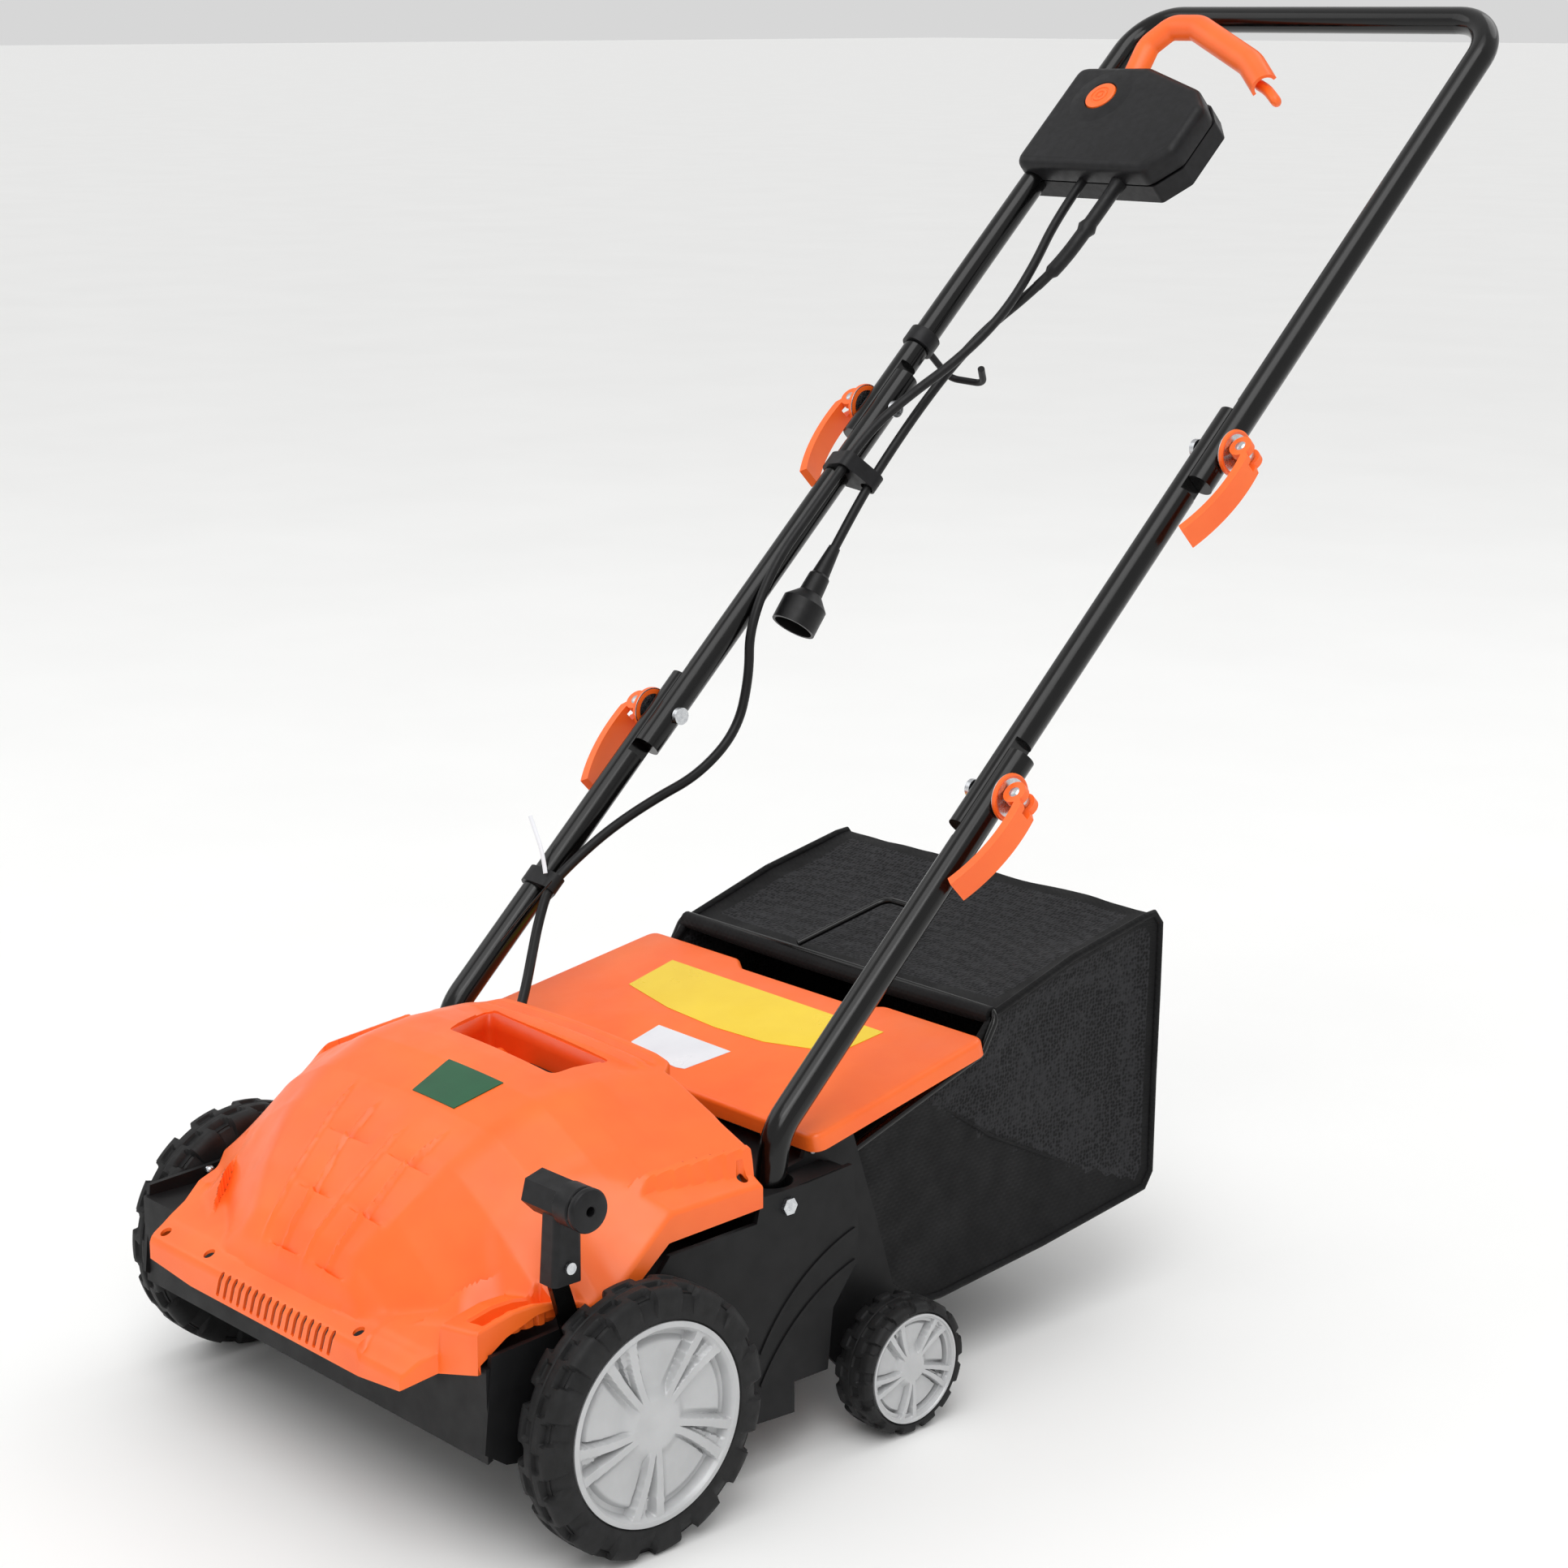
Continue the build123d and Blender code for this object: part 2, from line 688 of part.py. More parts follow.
def flapOutline(inset, rearInset):
    return [
        (-flapX + inset, inset),
        (-189 + inset, flapLength - rearInset),
        (-82, flapLength - rearInset),
        (-66, flapLength - 10 - rearInset),
        (66, flapLength - 10 - rearInset),
        (82, flapLength - rearInset),
        (189 - inset, flapLength - rearInset),
        (flapX - inset, inset),
    ]


with BuildPart() as flap:
    with BuildSketch(flapPlane.offset(-9)):
        with BuildLine():
            Polyline(*flapOutline(0, 0), close=True)
        make_face()
    extrude(amount=13)
    with BuildSketch(flapPlane.offset(-9)):
        with BuildLine():
            Polyline(*flapOutline(flapWall, flapWall), close=True)
        make_face()
    extrude(amount=13 - flapWall, mode=Mode.SUBTRACT)
    # hinge ears
    for x in (-178.5, -60, 60, 178.5):
        with BuildSketch(yz(x - 3)):
            with BuildLine():
                Polyline(
                    (flapFrontY + 4, flapFrontZ + 1),
                    (flapPinY - 6, flapPinZ - 5),
                    (flapPinY + 6, flapPinZ - 5),
                    (flapFrontY + 16, flapFrontZ + 3.5),
                    close=True,
                )
            make_face()
        extrude(amount=6)
        with BuildSketch(across(x - 5, flapPinY, flapPinZ)):
            Circle(2.5 + runClear)
        extrude(amount=10, mode=Mode.SUBTRACT)
save(flap, "flap")

with BuildPart() as flapPin:
    rod(-chuteX - 2, chuteX + 2, flapPinY, flapPinZ, 2.5)
save(flapPin, "flap_pin")

# ---- grass bag --------------------------------------------------------------------------------
bagOutline = [
    (300, 76),
    (268, 104),
    (242, 200),
    (372, 251),
    (389, 265),
    (570, 315),
    (578, 306),
    (574, 98),
    (566, 90),
    (340, 64),
]
with BuildPart() as bagFabric:
    with BuildSketch(yz(-bagX)):
        with BuildLine():
            Polyline(*bagOutline, close=True)
        make_face()
    extrude(amount=2 * bagX)
    with BuildSketch(yz(-bagX + bagWall)):
        with BuildLine():
            Polyline(*bagOutline, close=True)
        make_face()
        offset(amount=-bagWall, kind=Kind.INTERSECTION)
    extrude(amount=2 * (bagX - bagWall), mode=Mode.SUBTRACT)
    # the mouth
    with BuildSketch(yz(-bagX + 8)):
        with BuildLine():
            Polyline((262, 108), (238, 196), (252, 198), (276, 110), close=True)
        make_face()
    extrude(amount=2 * (bagX - 8), mode=Mode.SUBTRACT)
save(bagFabric, "bag_fabric")

barX = bagX + frameR + 0.6
with BuildPart() as bagFrame:
    with BuildLine() as framePath:
        FilletPolyline(
            (-barX, frontAxleY + 242, 203),
            (-barX, frontAxleY + 376, 247),
            (-barX, frontAxleY + 393, 275),
            (barX, frontAxleY + 393, 275),
            (barX, frontAxleY + 376, 247),
            (barX, frontAxleY + 242, 203),
            radius=10,
        )
    start = framePath.wires()[0]
    with BuildSketch(Plane(origin=start @ 0, z_dir=start % 0)):
        Circle(frameR)
    sweep()
save(bagFrame, "bag_frame")

with BuildPart() as bagHandle:
    with BuildLine() as gripPath:
        FilletPolyline(
            (-48, frontAxleY + 399.5, 277),
            (-20, frontAxleY + 470, 306),
            (20, frontAxleY + 470, 306),
            (48, frontAxleY + 399.5, 277),
            radius=12,
        )
    start = gripPath.wires()[0]
    with BuildSketch(Plane(origin=start @ 0, z_dir=start % 0)):
        Circle(2.5)
    sweep()
save(bagHandle, "bag_handle")

# ---- handle tubes -----------------------------------------------------------------------------
flatIn = (tubeX - tubeR + midTubeX + tubeR) / 2  # mid plane between the two flattened tubes


def flatten(sideCut, s, keepOutside):
    """Cut a tube flat where it laps the other one, inside a part block."""
    edge = sideCut * (flatIn + (0.2 if keepOutside else -0.2))
    with BuildSketch(handle.offset(-tubeR - 4)) as block:
        width = 30
        centre = edge + (-sideCut if keepOutside else sideCut) * width / 2
        with Locations((centre, s)):
            Rectangle(width, 2 * flatHalf)
    extrude(block.sketch, amount=2 * tubeR + 8, mode=Mode.SUBTRACT)


def boltHole(side, s):
    with BuildSketch(Plane(handle.from_local_coords((side * 150, s, 0)), z_dir=(1, 0, 0))) as hole:
        Circle(jointBoltR + 0.1)
    extrude(hole.sketch, amount=side * 70, mode=Mode.SUBTRACT)


for side, word in ((1, "left"), (-1, "right")):
    with BuildPart() as lowerTube:
        top = handle.from_local_coords((side * tubeX, lowerPivotS + endPast, 0))
        footPoint = Vector(side * tubeX, frontAxleY + tubeFootY, tubeFootZ)
        bendPoint = Vector(side * tubeX, bendY, tubeBendZ)
        with BuildLine() as tubePath:
            FilletPolyline(footPoint, bendPoint, top, radius=tubeBendR)
        with BuildSketch(Plane(origin=footPoint, z_dir=tubePath.wires()[0] % 0)):
            Circle(tubeR)
        sweep()
        flatten(side, lowerPivotS, True)
        boltHole(side, lowerPivotS)
        with BuildSketch(across(side * 150, tubeFootY + 2, tubeFootZ + 14)):
            Circle(jointBoltR)
        extrude(amount=side * 70, mode=Mode.SUBTRACT)
    save(lowerTube, f"lower_tube_{word}")

    with BuildPart() as middleTube:
        first = handle.from_local_coords((side * midTubeX, lowerPivotS - endPast, 0))
        with BuildSketch(Plane(origin=first, x_dir=(1, 0, 0), z_dir=(0, dirY, dirZ))):
            Circle(tubeR)
        extrude(amount=middleLength + 2 * endPast)
        inner = handle.from_local_coords((side * midTubeX, lowerPivotS + flatHalf + 2, 0))
        with BuildSketch(Plane(origin=inner, x_dir=(1, 0, 0), z_dir=(0, dirY, dirZ))):
            Circle(tubeR - tubeWall)
        extrude(amount=middleLength - 2 * flatHalf - 4, mode=Mode.SUBTRACT)
        for s in (lowerPivotS, -upperLength):
            flatten(side, s, False)
            boltHole(side, s)
    save(middleTube, f"middle_tube_{word}")

with BuildPart() as upperHandle:
    for radius, end, mode in (
        (tubeR, -upperLength - endPast, Mode.ADD),
        (tubeR - tubeWall, -upperLength + flatHalf + 2, Mode.SUBTRACT),
    ):
        corners = [(-tubeX, end), (-tubeX, 0), (tubeX, 0), (tubeX, end)]
        points = [handle.from_local_coords((x, s, 0)) for x, s in corners]
        with BuildLine() as barPath:
            FilletPolyline(*points, radius=barBendR)
        with BuildSketch(Plane(origin=points[0], x_dir=(1, 0, 0), z_dir=(0, dirY, dirZ))):
            Circle(radius)
        sweep(path=barPath.wires()[0], mode=mode)
    for side in (1, -1):
        flatten(side, -upperLength, True)
        boltHole(side, -upperLength)
save(upperHandle, "upper_handle")


# ---- joint bolts and cam levers ---------------------------------------------------------------
washerX = tubeX + tubeR + 0.4
camX = washerX + 12.5
camR = 9.0
leverLong = 84.0


def boltPlane(side, x, s):
    centre = handle.from_local_coords((side * x, s, 0))
    return Plane(origin=centre, x_dir=(0, dirY, dirZ), z_dir=(side, 0, 0))


def makeBolts(name, s):
    with BuildPart() as bolts:
        for side in (1, -1):
            with BuildSketch(boltPlane(side, midTubeX - tubeR - 0.2, s)) as shank:
                Circle(jointBoltR)
            extrude(shank.sketch, amount=camX - 3 - midTubeX + tubeR)
            with BuildSketch(boltPlane(side, midTubeX - tubeR - 4.4, s)) as head:
                Circle(7)
            extrude(head.sketch, amount=4.2)
            # cupped washer under the cam
            with BuildSketch(boltPlane(side, washerX, s)) as cup:
                Circle(17.5)
            extrude(cup.sketch, amount=3)
            # eye of the bolt, around the cam pin
            eye = Plane(
                origin=handle.from_local_coords((side * camX, s, 0)) - handle.z_dir * 3.5,
                x_dir=(1, 0, 0),
                z_dir=handle.z_dir,
            )
            with BuildSketch(eye) as disc:
                Circle(5.5)
                Circle(2.5 + runClear, mode=Mode.SUBTRACT)
            extrude(disc.sketch, amount=7)
            with BuildSketch(eye) as bore:
                Circle(2.5 + runClear)
            extrude(bore.sketch, amount=7, mode=Mode.SUBTRACT)
    save(bolts, name)


makeBolts("lower_joint_bolts", lowerPivotS)
makeBolts("upper_joint_bolts", -upperLength)


def makeCam(name, side, s):
    """Forked cam with its cross pin and the curved lever, along the tube when closed."""
    base = handle.from_local_coords((side * camX, s, 0))
    camPlane = Plane(origin=base - handle.z_dir * 10, x_dir=(1, 0, 0), z_dir=handle.z_dir)
    with BuildPart() as cam:
        with BuildSketch(camPlane) as head:
            Circle(camR)
        extrude(head.sketch, amount=20)
        with BuildSketch(camPlane) as blade:
            with BuildLine():
                p1 = (side * 2, 2)
                p2 = (side * 12, -8)
                outer = ThreePointArc(p2, (side * 11, -45), (side * -3, -leverLong))
                endEdge = Line(outer @ 1, (side * -8.5, -leverLong + 4))
                inner = ThreePointArc(endEdge @ 1, (side * 4.5, -44), (side * 5, -8))
                Polyline(inner @ 1, (side * -4, 2), p1, p2)
            make_face()
        extrude(blade.sketch, amount=20)
        # fork slot for the bolt eye
        with BuildSketch(Plane(origin=base - handle.z_dir * 4, x_dir=(1, 0, 0), z_dir=handle.z_dir)) as slot:
            with Locations((0, 0)):
                Rectangle(60, 2 * camR + 6)
        extrude(slot.sketch, amount=8, mode=Mode.SUBTRACT)
        with BuildSketch(Plane(origin=base - handle.z_dir * 10.6, z_dir=handle.z_dir)) as pin:
            Circle(2.5)
        extrude(pin.sketch, amount=21.2)
    save(cam, name)


for side, word in ((1, "left"), (-1, "right")):
    makeCam(f"cam_lever_lower_{word}", side, lowerPivotS)
    makeCam(f"cam_lever_upper_{word}", side, -upperLength)

# ---- switch box -------------------------------------------------------------------------------
boxLeft, boxRight = -202.0, -34.0
boxTop, boxLow = -78.0, -196.0
boxDown, boxUp = -19.0, 22.0
boxWall = 2.5
buttonX, buttonS, buttonR = -152.0, -116.0, 15.0
bailPivotX, bailPivotS = -146.0, -92.0


def boxSketch(level, inset):
    with BuildSketch(handle.offset(level)) as outline:
        with BuildLine():
            Polyline(
                (boxLeft + inset, boxTop - inset),
                (-120, boxTop - inset),
                (boxRight - 16, boxTop - 24 - inset),
                (boxRight - inset, boxTop - 42),
                (boxRight - inset, boxLow + 22),
                (boxRight - 18, boxLow + inset),
                (boxLeft + inset, boxLow + inset),
                close=True,
            )
        make_face()
        fillet(outline.vertices(), 5)
    return outline.sketch


def makeShell(name, low, high, openUp):
    with BuildPart() as shell:
        extrude(boxSketch(low, 0), amount=high - low)
        if openUp:
            extrude(boxSketch(low + boxWall, boxWall), amount=high - low, mode=Mode.SUBTRACT)
        else:
            extrude(boxSketch(low - boxWall, boxWall), amount=high - low, mode=Mode.SUBTRACT)
        # groove for the handle tube
        with BuildSketch(Plane(handle.from_local_coords((-tubeX, boxLow - 4, 0)), z_dir=(0, dirY, dirZ))) as bore:
            Circle(tubeR + 0.1)
        extrude(bore.sketch, amount=boxTop - boxLow + 8, mode=Mode.SUBTRACT)
        # window for the bail's arm
        with BuildSketch(handle.offset(-6)) as window:
            with Locations((bailPivotX, boxTop)):
                Rectangle(36, 12)
        extrude(window.sketch, amount=42, mode=Mode.SUBTRACT)
        if not openUp:
            with BuildSketch(handle.offset(high - 6)) as hole:
                with Locations((buttonX, buttonS)):
                    Circle(buttonR + 0.4)
            extrude(hole.sketch, amount=12, mode=Mode.SUBTRACT)
    save(shell, name)


makeShell("switch_box_back", boxDown, -0.2, True)
makeShell("switch_box_front", 0.0, boxUp, False)

with BuildPart() as microSwitch:
    with BuildSketch(handle.offset(boxDown + boxWall)) as body:
        with Locations((-84, -140)):
            RectangleRounded(52, 30, 2)
    extrude(body.sketch, amount=18)
    with BuildSketch(handle.offset(boxDown + boxWall + 18)) as stem:
        with Locations((-100, -134)):
            Circle(3)
    extrude(stem.sketch, amount=4)
save(microSwitch, "switch")

with BuildPart() as startButton:
    with BuildSketch(handle.offset(4)):
        with Locations((buttonX, buttonS)):
            Circle(buttonR)
    extrude(amount=boxUp + 3 - 4)
    for ring in (4, 8, 12):
        with BuildSketch(handle.offset(boxUp + 2.2)):
            with Locations((buttonX, buttonS)):
                Circle(ring + 0.7)
                Circle(ring - 0.7, mode=Mode.SUBTRACT)
        extrude(amount=2, mode=Mode.SUBTRACT)
    with BuildSketch(handle.offset(4)):
        with Locations((buttonX, buttonS)):
            Circle(buttonR - 3)
    extrude(amount=10, mode=Mode.SUBTRACT)
save(startButton, "start_button")

# Bail: half-round channel pivoted in the box, tilted forward of the handle plane at rest
bailTilt = 12.0
pivotPoint = handle.from_local_coords((0, bailPivotS, 4))
bailPlane = Plane(
    origin=pivotPoint,
    x_dir=(1, 0, 0),
    z_dir=Vector(handle.z_dir).rotate(Axis.X, bailTilt),
)
bailR = 12.0
bailWall = 3.0
with BuildPart() as bail:
    with BuildLine(bailPlane) as bailPath:
        FilletPolyline(
            (bailPivotX, 4), (bailPivotX, 44), (-128, 64), (-100, 64), (-26, 30), (0, 8), radius=[16, 16, 18, 40]
        )
    line = bailPath.wires()[0]
    with BuildSketch(Plane(origin=line @ 0, x_dir=bailPlane.x_dir, z_dir=line % 0)):
        Circle(bailR)
        Circle(bailR - bailWall, mode=Mode.SUBTRACT)
        with Locations((0, bailR)):
            Rectangle(2 * bailR + 2, 2 * bailR, mode=Mode.SUBTRACT)
    sweep()
    rodLow = bailPlane.from_local_coords((bailPivotX - 14, 0, 0))
    with BuildSketch(Plane(origin=rodLow, z_dir=(1, 0, 0))):
        Circle(4)
    extrude(amount=28)
    with BuildSketch(bailPlane.offset(-2)):
        with Locations((bailPivotX, 6)):
            Rectangle(10, 14)
    extrude(amount=13)
save(bail, "bail")

# ---- cords, clips and plug --------------------------------------------------------------------
clipS = -525.0  # cord clip on the middle tube
lowClipS = -959.6  # cord clip on the lower tube
clipLong = 14.0

# x across, s along the handle from the top bar, n out of the handle plane toward the front
motorCordHigh = [
    (-131, boxLow, 2),
    (-131, -240, 2),
    (-119, -296, 2),
    (-115, -352, 3),
    (-128, -404, 5),
    (-151, -450, 8),
    (-163, -492, 11),
    (-163, clipS, 11),
]
plugCordRoute = [
    (-90, boxLow, 2),
    (-90, -246, 2),
    (-101, -284, -5),
    (-120, -318, -10),
    (-139, -352, -11),
    (-149, -398, -11),
    (-152, -448, -11),
    (-151, -498, -11),
    (-150, -545, -13),
    (-150, -590, -20),
]
# x, y from the front axle, z
motorCordLow = [
    (-164, 479.5, 558),
    (-159, 447.5, 510),
    (-157, 445.5, 470),
    (-156, 431.5, 427),
    (-157, 391.5, 397),
    (-160, 345.5, 383),
    (-163, 303.5, 366),
    (-166, 269.5, 346),
    (-170, 245.5, 327),
    (-162, 228.5, 303),
    (-146, 209.5, 284),
    (-128, 188.5, 264),
    (-118, 170.5, 240),
    (cordEntryX, cordEntryY, 207),
]


def onHandle(x, s, n):
    return handle.from_local_coords((x, s, n))


def cordTube(name, points, r):
    """Round tube along straight runs joined by the largest tangent arcs they allow."""
    points = [Vector(*p) for p in points]
    radii = []
    for a, b, c in zip(points, points[1:], points[2:]):
        turn = (b - a).get_angle(c - b)
        shorter = min((b - a).length, (c - b).length)
        radii.append(0.45 * shorter / math.tan(math.radians(turn) / 2))
    with BuildPart() as cord:
        with BuildLine() as path:
            FilletPolyline(*points, radius=radii)
        route = path.wires()[0]
        with BuildSketch(Plane(origin=route @ 0, z_dir=route % 0)):
            Circle(r)
        sweep()
    smallest = min(radii)
    share = cord.part.volume / (math.pi * r * r * route.length)
    print(f"{name}: length {route.length:.0f}, least radius {smallest:.0f}, volume share {share:.4f}")
    save(cord, name)


motorHighPoints = [onHandle(*p) for p in motorCordHigh]
cordTube("motor_cord_upper", motorHighPoints, cordR)
motorLowPoints = [onHandle(*motorCordHigh[-1]), onHandle(-163, clipS - 50, 11)]
motorLowPoints += [(x, frontAxleY + y, z) for x, y, z in motorCordLow]
cordTube("motor_cord_lower", motorLowPoints, cordR)
plugPoints = [onHandle(*p) for p in plugCordRoute]
cordTube("plug_cord", plugPoints, cordR)

plugTop = plugPoints[-1]
plugDir = (plugPoints[-1] - plugPoints[-2]).normalized()
with BuildPart() as plug:
    with BuildSketch(Plane(origin=plugTop, x_dir=(1, 0, 0), z_dir=plugDir.cross(Vector(1, 0, 0)))) as half:
        # local y runs back up the cord
        with BuildLine():
            Polyline(
                (0, 0),
                (5, 0),
                (7.5, -26),
                (9, -28),
                (10, -44),
                (19, -54),
                (19, -76),
                (16.5, -76),
                (16.5, -58),
                (0, -58),
                close=True,
            )
        make_face()
    revolve(axis=Axis(plugTop, plugDir))
save(plug, "plug")


def makeClip(name, s, tubeCentreX, cordsAt):
    """Moulded clip that holds cords to a handle tube."""
    plane = Plane(onHandle(0, s - clipLong / 2, 0), x_dir=(1, 0, 0), z_dir=(0, dirY, dirZ))
    with BuildPart() as clip:
        with BuildSketch(plane) as body:
            with Locations((tubeCentreX, 0)):
                Circle(tubeR + 3)
            for x, n in cordsAt:
                with Locations((x, -n)):
                    Circle(cordR + 3.5)
            make_hull()
            with Locations((tubeCentreX, 0)):
                Circle(tubeR, mode=Mode.SUBTRACT)
            for x, n in cordsAt:
                with Locations((x, -n)):
                    Circle(cordR + 1.8, mode=Mode.SUBTRACT)
        extrude(body.sketch, amount=clipLong)
    save(clip, name)


makeClip("cord_clip_middle", clipS, -midTubeX, [(-161.7, 10.4), (-150.5, -12)])
makeClip("cord_clip_lower", lowClipS, -tubeX, [(-170, 4.8)])

hookS = -384.0
with BuildPart() as cordHook:
    with BuildSketch(Plane(onHandle(0, hookS - 7, 0), x_dir=(1, 0, 0), z_dir=(0, dirY, dirZ))) as ring:
        with Locations((-tubeX, 0)):
            Circle(tubeR + 3)
            Circle(tubeR, mode=Mode.SUBTRACT)
    extrude(amount=14)
    hookPoints = [
        onHandle(-tubeX, hookS, -tubeR - 1.5),
        onHandle(-tubeX, hookS + 2, -48),
        onHandle(-158, hookS + 8, -58),
        onHandle(-148, hookS + 8, -38),
    ]
    with BuildLine() as hookPath:
        FilletPolyline(*hookPoints, radius=[12, 9])
    hookWire = hookPath.wires()[0]
    with BuildSketch(Plane(origin=hookWire @ 0, z_dir=hookWire % 0)):
        Circle(3)
    sweep()
save(cordHook, "cord_hook")
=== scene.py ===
import json
import math

import bmesh
import bpy
from mathutils import Matrix, Vector, noise


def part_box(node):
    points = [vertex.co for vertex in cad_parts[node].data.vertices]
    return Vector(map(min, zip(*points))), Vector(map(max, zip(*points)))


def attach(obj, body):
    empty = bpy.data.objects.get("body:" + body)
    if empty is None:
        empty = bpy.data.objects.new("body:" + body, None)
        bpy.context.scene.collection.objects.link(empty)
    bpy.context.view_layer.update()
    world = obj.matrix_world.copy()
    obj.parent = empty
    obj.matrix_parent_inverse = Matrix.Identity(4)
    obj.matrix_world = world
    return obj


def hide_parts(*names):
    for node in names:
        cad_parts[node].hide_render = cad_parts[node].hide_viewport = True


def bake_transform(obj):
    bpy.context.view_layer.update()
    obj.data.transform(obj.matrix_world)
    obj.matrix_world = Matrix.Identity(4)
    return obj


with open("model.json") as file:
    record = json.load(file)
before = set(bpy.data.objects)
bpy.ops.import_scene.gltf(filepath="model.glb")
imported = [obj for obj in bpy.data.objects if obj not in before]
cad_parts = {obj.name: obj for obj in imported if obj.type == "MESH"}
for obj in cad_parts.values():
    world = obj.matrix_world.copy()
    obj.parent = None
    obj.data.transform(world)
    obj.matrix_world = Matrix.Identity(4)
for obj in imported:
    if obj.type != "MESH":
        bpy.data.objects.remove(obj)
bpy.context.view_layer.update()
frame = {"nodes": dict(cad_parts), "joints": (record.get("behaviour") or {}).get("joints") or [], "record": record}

scene = bpy.context.scene
print("stage: frame loaded")


# places read from the frame, in millimetres
def boxOf(node):
    low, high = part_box(node)
    return low * 1000, high * 1000


def centreOf(node):
    low, high = boxOf(node)
    return (low + high) / 2


joints = {joint["name"]: joint for joint in frame["joints"]}


def pivotOf(name):
    return Vector(joints[name]["pos_m"]) * 1000


axleY = centreOf("front_tyre_left").y
tubeRadius = 11.0
barHigh = boxOf("upper_handle")[1]
barCentre = Vector((0, barHigh.y - tubeRadius, barHigh.z - tubeRadius))
upperPivot = pivotOf("handle_fold_upper")
lowerPivot = pivotOf("handle_fold_lower")
upHandle = (barCentre - lowerPivot).normalized()
offHandle = Vector((0, -upHandle.z, upHandle.y))
upperS = -(barCentre - upperPivot).length
lowerS = -(barCentre - lowerPivot).length


def onHandle(x, s, n):
    return barCentre + Vector((x, 0, 0)) + upHandle * s + offHandle * n


def fromAxle(x, y, z):
    return Vector((x, axleY + y, z))


# camera, floor and light
view = {"place": (1.7309, -1.6436, 0.9974), "azimuth": 47.734, "elevation": 13.739, "lens": 72.82}


def makeCamera():
    data = bpy.data.cameras.new("camera")
    data.lens = view["lens"]
    data.sensor_width = 36
    data.clip_end = 200
    camera = bpy.data.objects.new("camera", data)
    scene.collection.objects.link(camera)
    camera.location = view["place"]
    tip = math.radians(90 - view["elevation"])
    camera.rotation_euler = (tip, 0, math.radians(view["azimuth"]))
    scene.camera = camera


makeCamera()

studio = {
    "floor": "F4F4F3",
    "sky": 0.68,
    "sun": 0.85,
    "lamps": [  # place, size, power
        ((2.6, -2.4, 3.2), 2.4, 38),
        ((-2.8, -1.6, 2.6), 2.6, 14),
        ((0.2, 2.8, 3.0), 2.4, 16),
        ((0.4, -0.4, 3.9), 2.6, 12),
    ],
}


# materials
def fromHex(code):
    def linear(part):
        value = int(part, 16) / 255
        return value / 12.92 if value <= 0.04045 else ((value + 0.055) / 1.055) ** 2.4

    return (linear(code[0:2]), linear(code[2:4]), linear(code[4:6]), 1.0)


def addNode(tree, kind, settings=None, **inputs):
    node = tree.nodes.new(kind)
    for name, value in (settings or {}).items():
        setattr(node, name, value)
    for name, value in inputs.items():
        socket = node.inputs[int(name[1:])] if name[0] == "_" else node.inputs[name.replace("_", " ")]
        if isinstance(value, bpy.types.NodeSocket):
            tree.links.new(value, socket)
        else:
            socket.default_value = value
    return node


def newMaterial(name):
    material = bpy.data.materials.new(name)
    material.use_nodes = True
    tree = material.node_tree
    shader = tree.nodes["Principled BSDF"]
    place = addNode(tree, "ShaderNodeTexCoord").outputs["Object"]
    return material, tree, shader, place


def grainSize(sizeMm):
    # noise scale whose blobs are about this many millimetres across
    return 1000.0 / sizeMm


def mottled(tree, place, dark, light, sizeMm, spread=0.5):
    # two tones of one colour in soft patches
    patches = addNode(tree, "ShaderNodeTexNoise", Vector=place, Scale=grainSize(sizeMm),
                      Detail=3.0, Roughness=0.55)
    ramp = addNode(tree, "ShaderNodeValToRGB", Fac=patches.outputs["Fac"])
    ramp.color_ramp.elements[0].position = 0.5 - spread / 2
    ramp.color_ramp.elements[0].color = fromHex(dark)
    ramp.color_ramp.elements[1].position = 0.5 + spread / 2
    ramp.color_ramp.elements[1].color = fromHex(light)
    return ramp.outputs["Color"]


def roughBand(tree, place, low, high, sizeMm):
    # gloss that wanders a little over the surface
    patches = addNode(tree, "ShaderNodeTexNoise", Vector=place, Scale=grainSize(sizeMm), Detail=4.0)
    band = addNode(tree, "ShaderNodeMapRange", Value=patches.outputs["Fac"])
    band.inputs["From Min"].default_value = 0.3
    band.inputs["From Max"].default_value = 0.7
    band.inputs["To Min"].default_value = low
    band.inputs["To Max"].default_value = high
    return band.outputs["Result"]


def grain(tree, place, sizeMm, depthMm, strength=1.0):
    # fine relief of a moulded or coated surface
    spots = addNode(tree, "ShaderNodeTexNoise", Vector=place, Scale=grainSize(sizeMm), Detail=2.0)
    bump = addNode(tree, "ShaderNodeBump", Height=spots.outputs["Fac"],
                   Distance=depthMm / 1000, Strength=strength)
    return bump.outputs["Normal"]


def shade(material, tree, shader, colour, rough, normal=None, **fixed):
    tree.links.new(colour, shader.inputs["Base Color"])
    tree.links.new(rough, shader.inputs["Roughness"])
    if normal is not None:
        tree.links.new(normal, shader.inputs["Normal"])
    for name, value in fixed.items():
        shader.inputs[name.replace("_", " ")].default_value = value
    return material


def orangeAbs(dark="F86219", light="FF7024"):
    # ABS, injection moulded and lightly polished: broad soft highlights, a trace of orange peel
    material, tree, shader, place = newMaterial("orangeAbs")
    colour = mottled(tree, place, dark, light, 60)
    return shade(material, tree, shader, colour, roughBand(tree, place, 0.34, 0.44, 25),
                 grain(tree, place, 1.4, 0.012), IOR=1.53, Subsurface_Weight=0.04)


